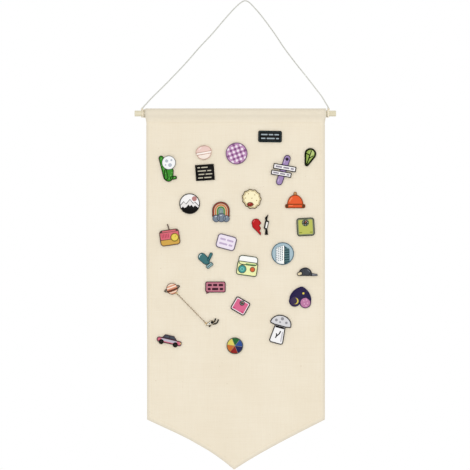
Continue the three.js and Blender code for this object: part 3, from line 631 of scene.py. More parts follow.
def buildStitching():
    inset, layer, half, seam = canvas["stitchInset"], canvas["layer"], canvas["half"], canvas["seam"]
    inside, (clear, below) = half - inset, canvas["stitchFrom"]
    bend = -canvas["corner"] - math.tan(slantAngle) * inset + inset / math.cos(slantAngle)
    tip = -canvas["point"] + inset / math.cos(slantAngle)
    rows = []
    for y in (-layer, layer):
        rows.append(stitchRow((-half + clear, -seam), (half - clear, -seam), y))
        for side in (-1, 1):
            rows.append(stitchRow((side * inside, -canvas["flap"] - below), (side * inside, bend), y))
            rows.append(stitchRow((side * inside, bend), (0, tip), y))
    piece = joined(rows)
    drape(piece)
    piece.data.materials.append(looks["thread"])
    return finishPiece(piece, "canvas_stitching", canvasPlace, "banner", None, "canvas", 60)


canvasSheet, stitching = buildCanvas(), buildStitching()
print("canvas made")


# Cord

cord = {"diameter": 1.6, "winding": 5.2, "turnSteps": 24, "left": (-145.0, 2.25, 2.45),
        "right": (117.1, 1.25, -2.1), "tucked": (1.5, 0.53), "lay": 6.4, "step": 0.6, "strand": 0.5,
        "lobes": 1.22, "lobeAngles": (-60, -36, -12, 12, 36), "knotTurns": 1.6, "knotSteps": 16,
        "knotRadius": 1.1, "knotPitch": 1.5, "knotYarn": 0.94,
        "knots": {"cord_knot_left": (-144.2, 5.0, -150.9, 0.35),
                  "cord_knot_right": (116.9, 5.0, -150.4, -0.15)},
        "route": [(-144.9, 5.1, -152.6), (-143.2, 4.9, -148.9), (-138.1, 4.7, -143.1), (-129, 4.3, -133.3),
                  (-118.9, 4, -123.5), (-99.5, 3.3, -103.9), (-81.1, 2.7, -84.3), (-64, 2.1, -64.7),
                  (-45.7, 1.4, -45.1), (-29, 0.9, -25.5), (-17.7, 0.5, -12.9), (-10.7, 0.3, -5.9),
                  (-5.6, 0.1, -1.7), (0, 0, 0.8), (6, 0.1, -1.7), (10.2, 0.3, -5.9), (16.7, 0.5, -12.9),
                  (26.8, 0.9, -25.5), (41.2, 1.4, -45.1), (54.3, 2.1, -64.7), (69, 2.7, -84.3),
                  (84.6, 3.3, -103.9), (99.9, 4, -123.5), (107.4, 4.3, -133.3), (113.3, 4.7, -143.1),
                  (116.6, 4.9, -149), (117.1, 5.1, -152.6)]}


# The last part of a turn is tucked in close to the turn before it
def winding(x, loops, pitch):
    points, steps = [], cord["turnSteps"]
    spaced, tight = cord["tucked"]
    for i in range(round(loops * steps) + 1):
        turn = 2 * math.pi * i / steps
        along = min(i / steps, spaced) + tight * max(i / steps - spaced, 0)
        points.append(Vector((x + pitch * along, cord["winding"] * math.cos(turn),
                              dowelMiddle.z / mm - cord["winding"] * math.sin(turn))))
    return points + [points[-1] + (points[-1] - points[-2]).normalized() * cord["diameter"]]


# A smooth line through the points, with even steps
def smoothLine(points, step):
    gaps = [(q - p).length for p, q in zip(points, points[1:])]
    ways = []
    for i in range(len(points)):
        before = (points[i] - points[i - 1]) / gaps[i - 1] if i else None
        after = (points[i + 1] - points[i]) / gaps[i] if i < len(gaps) else None
        ways.append((before * gaps[i] + after * gaps[i - 1]) / (gaps[i] + gaps[i - 1])
                    if before and after else before or after)
    dense = [points[0]]
    for i, gap in enumerate(gaps):
        dense += interpolate_bezier(points[i], points[i] + ways[i] * gap / 3,
                                    points[i + 1] - ways[i + 1] * gap / 3, points[i + 1],
                                    max(3, round(gap / step * 4) + 1))[1:]
    along, line = 0.0, [dense[0]]
    for p, q in zip(dense, dense[1:]):
        along += (q - p).length
        if along >= step:
            line.append(q)
            along = 0.0
    return line


# Three strands twisted along a line
def twisted(line, diameter, name):
    reach = cord["lobes"] * diameter / 2  # the lobes reach further out than a round cord of the same yarn
    strand = cord["strand"] * reach
    away, edge = reach - strand, []
    for turn in (0, 120, 240):
        for lobe in cord["lobeAngles"]:
            off, angle = math.radians(lobe), math.radians(turn + lobe)
            radius = away * math.cos(off) + math.sqrt(strand ** 2 - (away * math.sin(off)) ** 2)
            edge.append((radius * math.cos(angle), radius * math.sin(angle)))
    shape = polyCurve("strands", [edge], True)
    shape.data.dimensions = "2D"
    piece = polyCurve(name, [line])
    curve = piece.data
    curve.twist_mode, curve.use_fill_caps = "MINIMUM", True
    curve.bevel_mode, curve.bevel_object = "OBJECT", shape
    for i, point in enumerate(curve.splines[0].points):
        point.tilt = 2 * math.pi * i * cord["step"] / cord["lay"]
    toMesh(piece)
    bpy.data.objects.remove(shape)
    weld(piece)
    piece.data.materials.append(looks["cotton"])
    return piece


def buildKnot(name, x, y, z, lean):
    radius, steps, turns = cord["knotRadius"], cord["knotSteps"], cord["knotTurns"]
    helix = []
    for i in range(round(turns * steps) + 1):
        turn = 2 * math.pi * i / steps
        helix.append(Vector((radius * math.cos(turn), radius * math.sin(turn),
                             cord["knotPitch"] * (i / steps - turns / 2))))
    knot = twisted(smoothLine(helix, cord["step"]), cord["diameter"] * cord["knotYarn"], "knot")
    place = Matrix.Translation(Vector((x, y, z)) * mm) @ Matrix.Rotation(lean, 4, "Y")
    return finishPiece(knot, name, place, "hanger", None, "cotton_cord", 60)


def buildCord():
    points = winding(*cord["left"])[::-1] + [Vector(p) for p in cord["route"]] + winding(*cord["right"])
    line = smoothLine(points, cord["step"])
    piece = twisted(line, cord["diameter"], "cord")
    finishPiece(piece, "twisted_cord", Matrix(), "hanger", "hanging_cord", "cotton_cord", 60)
    knots = [buildKnot(name, *place) for name, place in cord["knots"].items()]
    length = sum((q - p).length for p, q in zip(line, line[1:])) * mm
    path = [tuple(p * mm) for p in line]


buildCord()
print("cord made")


# Pins. Each is painted in its own plane, x to the right and y up, with its post at 0, 0.

pinBuild = {"under": 0.02, "floor": 1.2, "enamel": 1.36, "line": 1.5, "step": 0.03, "over": 0.32,
            "coat": 0.012, "sink": 0.05, "rim": 1.2, "lap": 0.04, "soften": 0.12, "enamelSoften": 0.05,
            "patchSoften": 0.03, "lineSoften": 0.06, "back": -1.2}
post = {"radius": 0.55, "length": 8, "tip": 1.5, "point": (0.3, 0.35), "notch": 4.2, "notchDeep": 0.14,
        "notchWide": 0.7, "foot": 1.9, "solder": (-0.5, -0.02, 0.4), "sides": 20}


class PinArt:
    def __init__(self, look):
        self.look, self.solids, self.lift, self.coats = look, [], 0.0, 0


# The steps of a pin's paint list. Each names its colour first.
def solid(art, colour, outlines, low, high, finish="plating", soften=0.1):
    art.solids.append((flatSolid(outlines, low, high, soften), tint(art.look[colour]), looks[finish]))


# a plate with a raised rim and enamel inside it
def field(art, colour, outline, wide=pinBuild["rim"], over=False, rim="rim"):
    art.lift += pinBuild["over"] if over else pinBuild["step"]
    art.coats = 0
    low, high = pinBuild["floor"] + art.lift, pinBuild["line"] + art.lift
    solid(art, rim, [outline, drawnIn(outline, wide)], 0, high, "plating", pinBuild["soften"])
    solid(art, rim, [drawnIn(outline, wide / 2)], pinBuild["under"], low, "plating", 0.0)
    solid(art, colour, [drawnIn(outline, wide - pinBuild["lap"])], low - pinBuild["sink"],
          pinBuild["enamel"] + art.lift, "enamel", pinBuild["enamelSoften"])


# enamel of another colour on the last field, with a hole in it where a second edge is given
def ring(art, colour, *edges):
    art.coats += 1
    high = pinBuild["enamel"] + art.lift + pinBuild["coat"] * art.coats
    solid(art, colour, edges, pinBuild["floor"] + art.lift, high, "enamel", pinBuild["patchSoften"])


def patch(art, colour, *outlines):
    for outline in outlines:
        ring(art, colour, outline)


# raised metal lines on the last field
def line(art, colour, *outlines):
    for outline in outlines:
        solid(art, colour, [outline], pinBuild["floor"] + art.lift, pinBuild["line"] + art.lift, "plating",
              pinBuild["lineSoften"])


def bars(art, colour, thick, rows):
    for y, spans in rows:
        patch(art, colour, *(box((a + b) / 2, y, b - a, thick, thick * 0.3) for a, b in spans))


pins = {}
pins["cactus"] = {
    "rim": "#12220c", "green": "#388a28", "spine": "#8cc47a", "moon": "#f1f1f1", "crater": "#b3b8c2",
    "moonRim": "#2b2e30",
    "paint": [
        (field, "green", capsule(6, -12.8, 10.8, -12, 5)),
        (field, "green", capsule(1.5, -11.2, 2, -3, 13.2)),
        (field, "green", capsule(-2.2, -12, -8.9, 15.2, 7)),
        (patch, "spine", *(capsule(x - 0.5, y - 0.5, x + 0.5, y + 0.5, 0.5) for x, y in (
            (-8.9, 14), (-7.2, 9), (-8.2, 4.6), (-4.8, -1), (-5.6, 1.2), (-2.6, -6), (2.4, -13), (4.4, -9),
            (0.6, -10), (6.4, -5), (9.6, -12.2)))),
        (field, "moon", disc(1.8, 8.8, 9.7), 0.6, True, "moonRim"),
        (patch, "crater", disc(-1.2, 11.2, 2.2, 24), disc(5.4, 12.4, 1.4, 24), disc(3.6, 5.4, 2.6, 24),
         disc(-2.8, 5.6, 1.1, 24))]}

pins["macaron"] = {
    "tilt": -10, "rim": "#a98d80", "top": "#e6c8bf", "filling": "#f7efe8", "foot": "#f1e3d8",
    "shine": "#f3dfda",
    "paint": [
        (field, "foot", arc(0, -1, 10.2, 180, 360, 28, 8.4)),
        (field, "top", arc(0, 1, 11.4, 0, 180, 28, 9.6)),
        (patch, "shine", capsule(-6, 6, -2.6, 8.2, 1.1)),
        (field, "filling", box(0, -0.1, 21.8, 3.7, 1.5), 0.6)]}


def gingham(radius, pitch, wide):
    inner, places = radius - pinBuild["rim"], [pitch * i for i in (-2, -1, 0, 1, 2)]
    bands = [chordBand(inner, at - wide / 2, at + wide / 2) for at in places]
    crosses = [box(x, y, wide, wide, 0.1, 1) for x in places for y in places
               if math.hypot(abs(x) + wide / 2, abs(y) + wide / 2) < inner]
    return [(field, "ground", disc(0, 0, radius)), (patch, "band", *bands),
            (patch, "band", *(spun(band, 90) for band in bands)), (patch, "cross", *crosses)]


pins["gingham"] = {"tilt": -20, "rim": "#5f4460", "ground": "#ecdfe9", "band": "#bb8fb6", "cross": "#7f4f7e",
                   "paint": gingham(15.25, 6.2, 3.1)}


# A plain card with bare bars on it
def card(size, thick, rows, rim=pinBuild["rim"]):
    return [(field, "ground", box(0, 0, *size), rim), (bars, "bar", thick, rows)]


labelSize = (33.2, 16.1, 2.4)
pins["label_black"] = {
    "tilt": 1, "rim": "#0c0d0e", "ground": "#060707", "inset": "#3c4f52", "bar": "#a4b0b6",
    "paint": [
        (field, "ground", box(0, 0, *labelSize)),
        (ring, "inset", drawnIn(box(0, 0, *labelSize), 1.4), drawnIn(box(0, 0, *labelSize), 1.85)),
        (bars, "bar", 1.7, [(2.7, [(-12.5, -3.6), (-1.8, 4.4), (6.2, 12.5)]),
                            (-2.7, [(-12.5, -6.4), (-4.6, 6.6), (8.4, 12.5)])])]}

pins["leaf"] = {
    "rim": "#0a1006", "lime": "#93ab52", "pale": "#b4c67a",
    "paint": [
        (field, "lime", taper(1.1, 4.6, 8.2, -3.9, -9.6, 3.2), 2.5),
        (patch, "pale", taper(3.2, 6.2, 3.4, 1.4, -0.6, 1.4)),
        (line, "rim", stroke([(-4.2, -10.4), (-1.4, -2.4), (1.6, 6.2), (2.6, 9.4)], 1.5),
         stroke([(-1.2, -2), (5, 2)], 1.3), stroke([(0.4, 2.6), (-4.6, 5.4)], 1.3))]}

pins["note_black"] = {
    "tilt": -4, "rim": "#0b0a09", "ground": "#050404", "bar": "#c6c0ab",
    "paint": card((26.3, 22.4, 0.4), 1.4, [
        (7.2, [(-10, -6.4), (-4.8, 4.2)]), (2.4, [(-10, 1.6), (3.4, 9)]), (-2.4, [(-9, -1), (0.8, 10)]),
        (-7.2, [(-10, -3.2), (-1.4, 8.6)])])}


def board(x, y, long, high, lean=-10):
    marks = (box((a + b) / 2 * long, 0, (b - a) * long, high * 0.3, 0.4)
             for a, b in ((-0.4, -0.12), (-0.06, 0.2), (0.26, 0.4)))
    return [(field, "board", spun(box(0, 0, long, high, 0.8), lean, x, y), 1.25, True, "boardRim"),
            (patch, "mark", *(spun(mark, lean, x, y) for mark in marks))]


pins["signpost"] = {
    "rim": "#3a3044", "lilac": "#9c84b2", "light": "#c3b3cf", "board": "#f1eeee", "boardRim": "#0a080b",
    "mark": "#8d8792", "dark": "#241a2c",
    "paint": [
        (field, "lilac", capsule(5.6, 16.6, -5.6, -16.4, 9.4), 1.1),
        (patch, "dark", disc(5.2, 15.4, 2.3, 28)),
        (patch, "light", capsule(2.4, 14.4, 1, 10.6, 1.2), capsule(-6.4, -12.4, -7.2, -15.6, 1.2)),
        *board(2, 3.5, 32.2, 7.7), *board(-2.9, -4.9, 28.7, 7)]}

ridge = [(-13.3, -2.6), (-8.4, 3), (-5, -0.6), (0.4, 6.2), (5, 0.4), (7.4, 2.6), (13.1, -3.4)]
foothills = [(-11.9, -6.4), (-9.4, -3.8), (-7.6, -5.8), (-4.6, -4.8), (-1.8, -1), (0.2, -3.6), (2.6, -1.4),
             (5, -4.6), (7.6, -2.4), (12.2, -5.8)]
mountainRadius = 14.4
mountainInside = mountainRadius - pinBuild["rim"]
pins["mountain"] = {
    "rim": "#1c1a19", "sky": "#f1efee", "sun": "#b5807c", "rock": "#060505", "slope": "#e6e3e1",
    "paint": [
        (field, "sky", disc(0, 0, mountainRadius)),
        (patch, "sun", disc(6.6, 7, 3.5, 32)),
        (patch, "slope", ridge + arc(0, 0, mountainInside, -16, -169, 28)),
        (patch, "rock", foothills + arc(0, 0, mountainInside, -27, -151, 28)),
        (line, "rim", stroke(ridge, 0.9))]}


# A wavy edge, flattened a little on one side
def scalloped(radius, wave, scallops, flatten, flatAt, steps):
    edge = []
    for i in range(steps):
        angle = 2 * math.pi * i / steps
        flat = 1 - flatten * max(0, math.cos(angle - math.radians(flatAt))) ** 2
        reach = radius * flat + wave * math.cos(scallops * angle)
        edge.append((reach * math.cos(angle), reach * math.sin(angle)))
    return edge


biscuitEdge = scalloped(13.9, 0.55, 11, 0.14, 215, 110)
jamAt = (-1.5, -7.2)
jamEdge = disc(*jamAt, 3.9, 36, 2.5)
pins["biscuit"] = {
    "rim": "#453419", "cream": "#f4eac2", "baked": "#a98c52", "jam": "#8c2c22", "shine": "#c9786a",
    "paint": [
        (field, "cream", biscuitEdge),
        (ring, "baked", drawnIn(biscuitEdge, 1.9), drawnIn(drawnIn(biscuitEdge, 1.9), 0.7)),
        (patch, "baked", *(disc(x, y, 0.75, 16) for x, y in (
            (5, 6), (-4, 7.6), (7.6, -1.8), (-8, 1.6), (3.6, -8), (1, 1.4)))),
        (line, "rim", disc(*jamAt, 4.6, 36, 3.2)),
        (patch, "jam", jamEdge),
        (solid, "jam", [jamEdge], 1.3, 1.56, "enamel", 0.04),
        (solid, "shine", [capsule(-3.4, -6.4, -1.6, -5.9, 0.7)], 1.3, 1.6, "enamel", 0.02)]}


archRadius, archSpring, archFoot = 12.3, 2, -7
archEdge = [(archRadius, archFoot), *arc(0, archSpring, archRadius, 0, 180, 36), (-archRadius, archFoot)]


def archBand(outer, inner):
    over, under = arc(0, archSpring, outer, 0, 180, 28), arc(0, archSpring, inner, 180, 0, 28)
    return [(outer, archFoot), *over, (-outer, archFoot), (-inner, archFoot), *under, (inner, archFoot)]


def puff(x, y, radius, over=False):
    shine = capsule(x - 1.6, y + radius * 0.42, x + 0.6, y + radius * 0.55, 0.8)
    return [(field, "cloud", disc(x, y, radius, 36), 0.7, over), (patch, "cloudShine", shine)]


pins["rainbow"] = {
    "rim": "#333b47", "archRim": "#4a3a30", "red": "#8a3c2b", "orange": "#c27a42", "green": "#4a813b",
    "inside": "#d9c9b4", "core": "#74908f", "cloud": "#76818e", "cloudShine": "#dfe5ea",
    "paint": [
        (field, "inside", archEdge, 0.9, False, "archRim"),
        (patch, "core", archBand(3.3, 0.2)),
        (patch, "red", archBand(11.4, 9.3)),
        (patch, "orange", archBand(8.6, 6.4)),
        (patch, "green", archBand(5.7, 3.5)),
        *puff(-6.6, -9.3, 5.2, True), *puff(7.4, -9.7, 4.8), *puff(0.6, -8.2, 6.3)]}

pins["bell"] = {
    "rim": "#6a3317", "orange": "#e05a2d", "light": "#f08a5e", "foot": "#da552a", "brass": "#b98a58",
    "ends": "#4d3a20",
    "paint": [
        (field, "brass", disc(0, 9.2, 2.5, 28), 0.6),
        (field, "orange", arc(0, -6.2, 11.4, 0, 180, 36, 14)),
        (patch, "light", stroke(arc(0, -6.2, 8.6, 118, 158, 10, 11), 1.5)),
        (field, "foot", box(0, -8.2, 28.4, 6, 2.6)),
        (patch, "light", capsule(-8.6, -7.4, -3.6, -7.4, 0.9)),
        (patch, "ends", disc(-11.4, -8.2, 1.9, 24), disc(11.4, -8.2, 1.9, 24))]}


# A rounded case with a band across its foot and two dark shoulders
def radioCase(width, high, corner, band, shoulder):
    rim = pinBuild["rim"]
    half, low, bend = width / 2 - rim, rim - high / 2, corner - rim
    foot = [(half, band), *arc(half - bend, low + bend, bend, 0, -90, 6),
            *arc(-half + bend, low + bend, bend, -90, -180, 6), (-half, band)]
    rise = math.degrees(math.asin((shoulder + low + bend) / bend))
    tops = []
    for side in (-1, 1):
        x = side * (half - bend)
        tops.append(arc(x, -low - bend, bend, 90 - side * (90 - rise), 90, 6) + [(x, shoulder)])
    return [(field, "pink", box(0, 0, width, high, corner)), (patch, "mustard", foot),
            (patch, "corner", *tops)]


dialAt = (6.8, -0.6)
pins["radio_pink"] = {
    "tilt": -8, "rim": "#4f3a30", "aerial": "#5a4640", "pink": "#d56a76", "mustard": "#cda24c",
    "corner": "#3a3a3e", "grille": "#a83350", "dial": "#e3cd58", "dialRim": "#6b5a22", "needle": "#b5763a",
    "paint": [
        (field, "aerial", capsule(0.6, 10.8, -0.6, 18.4, 1.5), 0.3),
        *radioCase(28, 22.4, 4.4, -3, 8.2),
        (line, "rim", box(0, -2.6, 26.2, 0.8, 0.1, 1), box(0, 7.8, 26.2, 0.7, 0.1, 1)),
        (patch, "grille", *(capsule(x, 0.4, x, 5.4, 0.9) for x in (-10.4, -8.2, -6, -3.8, -1.6))),
        (field, "dial", disc(*dialAt, 5.9, 40), 1.3, True, "dialRim"),
        (patch, "needle", stroke([dialAt, (9.2, 1.8)], 0.6))]}

pins["tag_lilac"] = {
    "tilt": 15, "rim": "#4f4757", "ground": "#e9dfeb", "bar": "#bca9c6",
    "paint": card((27.3, 20.3, 4.6), 2.6, [(3.1, [(-9.4, -1.6), (0.4, 9.4)]),
                                           (-3.1, [(-9.4, 2.2), (4.2, 9.4)])], 1.3)}

pins["half_heart"] = {
    "rim": "#5f1618", "red": "#b51b1c", "light": "#dc5f62",
    "paint": [
        (field, "red", arc(-0.7, 5.6, 6.2, 30, 205, 24) + [
            (-6, 0), (5.8, -12), (6.4, -8.2), (4.4, -5.6), (6.2, -1.4), (4, 2), (6.6, 5.2)], 0.8),
        (patch, "light", stroke(arc(-0.7, 5.6, 4, 110, 170, 8), 0.9))]}

pins["bolt"] = {
    "rim": "#0b0a09", "black": "#050404", "pale": "#eeece6",
    "paint": [
        (field, "black", [(2.6, 14.3), (0.6, 6.2), (3.6, 4.6), (1.2, -6.2), (2.2, -14.3), (-2.6, -14.3),
                          (-1.4, -7.4), (-4, -5), (-1.6, 6.4), (-2.2, 9.6)], 0.6),
        (patch, "pale", [(-0.2, 3.6), (2.2, 3.4), (0.4, -5), (-1.8, -4.6)])]}


# A rounded plate with a dial near its top
def kitchenScale(width, high, corner, dial, rim, inside):
    edge, y = box(0, 0, width, high, corner), high / 2 - dial - 1.8
    pans = (capsule(x * width - 1.6, -high * 0.3, x * width + 1.6, -high * 0.3, 1.2) for x in (-0.3, 0.3))
    tick = stroke([(dial * 0.5, 0), (dial * 0.75, 0)], dial * 0.09)
    needle = stroke([(-dial * 0.15, 0), (dial * 0.6, 0)], dial * 0.11)
    return [(field, "face", edge, rim), (ring, "border", drawnIn(edge, rim), drawnIn(edge, inside)),
            (patch, "pan", *pans), (field, "dial", disc(0, y, dial, 36), 0.7, True, "dialRim"),
            (patch, "tick", *(spun(tick, angle, 0, y) for angle in range(0, 360, 45))),
            (patch, "needle", spun(needle, 62, 0, y))]


pins["scale_lime"] = {
    "tilt": -3, "rim": "#2f3328", "face": "#b7bb5c", "border": "#747966", "pan": "#7b8430", "dial": "#2a3326",
    "dialRim": "#5a614e", "tick": "#f0efe8", "needle": "#e9604c",
    "paint": kitchenScale(25.1, 25.5, 4, 5, 1.05, 2.7)}

pins["tower"] = {
    "rim": "#3a525e", "sky": "#a5bbc4", "white": "#eef0ef", "dot": "#37525f", "teal": "#0f323b",
    "stripe": "#6f9698", "outline": "#4b6470", "corner": "#e9e6dd",
    "paint": [
        (field, "sky", disc(0, 0, 15.75)),
        (patch, "white", [(-9.6, -11.2), (-9.6, 8), (1.4, 11.6), (1.4, -14.6), (-5, -13.9)]),
        (patch, "teal", [(1.4, 11.6), (9.4, 6), (9.4, -11.4), (5, -13.9), (1.4, -14.6)]),
        (patch, "dot", *(disc(-8.1 + column * 2.6, -10.4 + row * 2.5 + column * 0.6, 0.7, 12)
                         for column in range(4) for row in range(8))),
        (patch, "stripe", *(stroke([(2.2, row * 2.4 - 11.5), (8.9, row * 2.4 - 12)], 0.7)
                            for row in range(9))),
        (line, "outline", stroke([(-9.6, -11.4), (-9.6, 8), (1.4, 11.6), (9.4, 6), (9.4, -11.6)], 0.7)),
        (line, "corner", stroke([(1.4, -14.8), (1.4, 11.8)], 0.8))]}

cuffAt = (38, 6, -7.6)  # the angle and the place
pins["mitten"] = {
    "rim": "#163339", "teal": "#3c6e71", "shine": "#cfe0e0", "cuff": "#9ab5b3", "cuffBand": "#2a5560",
    "paint": [
        (field, "teal", capsule(4.6, 0.6, 8.2, 8.2, 4.6), 0.8),
        (field, "teal", taper(-4.6, 4.2, 5.8, 1.2, -1.4, 5.2), 0.8),
        (patch, "shine", stroke(arc(-4.6, 4.2, 3.7, 100, 190, 10), 1)),
        (field, "cuff", spun(box(0, 0, 10.4, 5.4, 1.4), *cuffAt), 0.8, True),
        (patch, "cuffBand", spun(box(0, 0, 8.6, 1.1, 0.2), *cuffAt))]}

speakerAt = (-6.8, -5.6)
pins["boombox"] = {
    "tilt": 8, "rim": "#3d4638", "body": "#e8ebac", "handle": "#f8f8f5", "grip": "#f4f4f1",
    "speaker": "#3f928c", "cone": "#6db5a9", "knob": "#cf6036", "slot": "#6f9a5c", "key": "#f3eeb4",
    "paint": [
        (field, "handle", box(0, 7.2, 27.4, 13.6, 5)),
        (patch, "grip", box(0, 9.4, 23, 5.4, 2.2)),
        (field, "body", box(0, -4.2, 29.3, 19.9, 3.4)),
        (patch, "slot", box(4.6, 2.2, 15, 1.9, 0.6)),
        (patch, "key", *(box(x, -11, 1.7, 1.5, 0.3) for x in (1.4, 4.2, 7, 9.8))),
        (field, "speaker", disc(*speakerAt, 6, 40), 0.9),
        (ring, "cone", disc(*speakerAt, 2.9, 28), disc(*speakerAt, 1.3, 20)),
        (field, "knob", disc(7.6, -4.4, 3.8, 32), 0.8)]}

pins["cap"] = {
    "rim": "#1d1e21", "grey": "#3e4148", "light": "#74777e", "tab": "#d9c9a6", "seam": "#2c2e33",
    "paint": [
        (field, "light", taper(4.6, -3.8, 2.2, 13, -4.6, 1.4), 0.6),
        (field, "grey", arc(-3, -4, 9.6, 0, 180, 32, 9.9) + [(-12.6, -5.8), (6.6, -5.8)]),
        (line, "seam", stroke([(-3, 5.4), (-3.8, 0.4), (-3.2, -5.2)], 0.55),
         stroke([(-3.6, 5.2), (-7.6, 1.2), (-9.2, -5.2)], 0.55)),
        (patch, "light", stroke(arc(-3, -4, 7.2, 30, 66, 8, 7.4), 1)),
        (field, "tab", capsule(-11.8, -3.2, -9.4, -2.4, 5.6), 1, True)]}


def pinPlace(name, tilt=0):
    low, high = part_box("clutch_" + name)
    middle = (low + high) / 2
    return Matrix.Translation((middle.x, pinBuild["back"] * mm, middle.z)) @ \
        Matrix.Rotation(math.pi / 2, 4, "X") @ Matrix.Rotation(math.radians(-tilt), 4, "Z")


# The fine chain runs straight from the planet to the rocket's nose, with an eyelet on each

chain = {"nose": (-6.6, -2.9), "noseRadius": 1.6, "planetRadius": 8, "hole": 0.8, "wall": 0.6,
         "eyelet": (1.0, 1.5), "ringRadius": 1.0, "wire": 0.4, "width": 1.6, "link": 4.4, "level": 1.25,
         "sway": (0.12, 2.4)}
planetAt, rocketAt = ((canvasPlace.inverted() @ pinPlace(name).translation).xz / mm
                      for name in ("planet", "rocket"))
noseAt = Vector(chain["nose"])
chainWay = (rocketAt + noseAt - planetAt).normalized()


def eyelet(place):
    edges = [disc(*place, chain["hole"] + chain["wall"], 28), disc(*place, chain["hole"], 24)]
    return solid, "eyelet", edges, *chain["eyelet"]


planetLean, planetInside = 20, chain["planetRadius"] - 0.75
ringWide, ringHigh, holeWide, holeHigh = 11.6, 3.5, 10.1, 2  # the planet's ring, seen at a slant
ringEdges = [disc(0, 0, ringWide, 56, ringHigh), disc(0, 0, holeWide, 56, holeHigh)]
ringFront = arc(0, 0, ringWide, 180, 360, 32, ringHigh) + arc(0, 0, holeWide, 360, 180, 32, holeHigh)


# A stripe across the planet
def stripe(colour, low, high):
    return patch, colour, spun(chordBand(planetInside, low, high), planetLean)


pins["planet"] = {
    "rim": "#4d3327", "peach": "#d79677", "cream": "#ecd6c2", "pale": "#f3e2d2", "rust": "#8f4d36",
    "ring": "#33241c", "eyelet": "#d9b878",
    "paint": [
        (solid, "ring", [spun(edge, planetLean) for edge in ringEdges], 0.1, 1.3),
        (field, "peach", disc(0, 0, chain["planetRadius"]), 0.7),
        stripe("cream", 5, 7), stripe("pale", 1.4, 3), stripe("rust", -2.4, -0.6),
        stripe("cream", -5.6, -4.2),
        (solid, "ring", [spun(ringFront, planetLean)], 1.2, 1.72),
        eyelet(chainWay * (chain["planetRadius"] + chain["hole"]))]}

pins["rocket"] = {
    "rim": "#0d0c0b", "white": "#ddd6c6", "bodyRim": "#6b5836", "black": "#080707", "window": "#5f7f90",
    "eyelet": "#d9b878",
    "paint": [
        (field, "black", stroke([(0.6, -1.8), (4.6, -2), (7.6, 0.2), (9.2, 4.4)], 1.9), 0.4),
        (field, "black", stroke([(1.4, 1), (3.8, 1.6), (5.2, 5.8)], 1.9), 0.4),
        (field, "black", capsule(-1.6, -2.4, -3.4, -5.6, 1.9), 0.4),
        (field, "white", taper(-0.2, 0, 3.2, *chain["nose"], chain["noseRadius"]), 0.6, True, "bodyRim"),
        (patch, "black", disc(0.3, 0.2, 2.1, 28)),
        (patch, "window", disc(-3.4, -1.4, 0.9, 20)),
        eyelet(noseAt - chainWay * (chain["noseRadius"] + chain["hole"]))]}

pins["speech"] = {
    "rim": "#3b1825", "ground": "#bd7686", "bar": "#3d1726",
    "paint": [
        (field, "ground", [(-12.4, -6), (-12.9, -9.8), (-7.2, -7)], 0.6),
        *card((28.4, 15.4, 2.6), 3.4, [(2.8, [(-10.8, -5), (-3.4, 2.6), (4.4, 10.8)]),
                                       (-2.8, [(-10.8, -6.6), (-4.8, 4), (5.8, 10.8)])])]}

pins["scale_pink"] = {
    "tilt": 30, "rim": "#251d20", "face": "#d4668a", "border": "#f4ebee", "pan": "#b93a68", "dial": "#2c3d35",
    "dialRim": "#2e2729", "tick": "#f0efe8", "needle": "#e9604c",
    "paint": kitchenScale(22.4, 20.4, 3, 3.6, 1.5, 2.5)}

heartEdge = arc(7.5, -6.6, 8.1, -145, 14, 20) + arc(-6.2, -6.25, 22.04, 13.8, 73.4, 14) + \
    arc(6.2, -6.25, 22.04, 106.6, 166.2, 14) + arc(-7.5, -6.6, 8.1, 166, 325, 20) + [(0, -9.8)]
pins["heart"] = {
    "tilt": 8, "rim": "#1d1838", "night": "#241b44", "dusk": "#3b2f4d", "pink": "#b9789f", "light": "#d7a3c0",
    "moon": "#d9c650",
    "paint": [
        (field, "night", heartEdge, 1),
        (patch, "dusk", disc(-7.2, -6.9, 6.6, 40)),
        (patch, "pink", disc(7.6, -7, 6.8, 40)),
        (patch, "light", *(disc(x, y, 1, 16) for x, y in (
            (5, -4.6), (8.6, -3), (10.6, -7.2), (6.4, -8.8), (9, -11)))),
        (patch, "moon", arc(-6.6, -6.6, 4.4, -110, 110, 20) + arc(-8.9, -6.6, 4.8, 59, -59, 14),
         disc(3, 5.6, 1.5, 20)),
        (line, "rim", stroke([(-13.6, -3.4), (-8, 0.4), (0, -2.2), (8, 0.4), (13.6, -3.4)], 0.6))]}

pins["car"] = {
    "tilt": 13, "rim": "#3d252d", "pink": "#cf6d82", "light": "#bdb5c2", "roof": "#332e37",
    "glass": "#454a54", "lamp": "#f2d77a", "tyre": "#060505", "hub": "#1f1c1d",
    "paint": [
        (field, "roof", [(-11.4, 1.6), (-7.4, 7.4), (5.4, 7.4), (11, 1.6)], 0.6),
        (patch, "glass", drawnIn([(-9.4, 2.9), (-6.6, 6.6), (-1.4, 6.6), (-1.4, 2.9)], 0.3),
         drawnIn([(-0.4, 2.9), (-0.4, 6.6), (5, 6.6), (8.6, 2.9)], 0.3)),
        (field, "pink", box(0, -1.2, 35.3, 7, 2.8)),
        (patch, "light", box(-0.4, -0.6, 22, 3.4, 0.8)),
        (patch, "lamp", disc(16, -0.6, 0.9, 16)),
        *((field, "hub", disc(x, -4, 3.5, 32), 1.5, True, "tyre") for x in (-10.8, 9.4))]}

wheelRadius, wheelRim, wheelGap = 11.6, 0.8, 0.22


def sector(start):
    return drawnIn([(0, 0)] + arc(0, 0, wheelRadius - wheelRim, start, start + 60, 14), wheelGap)


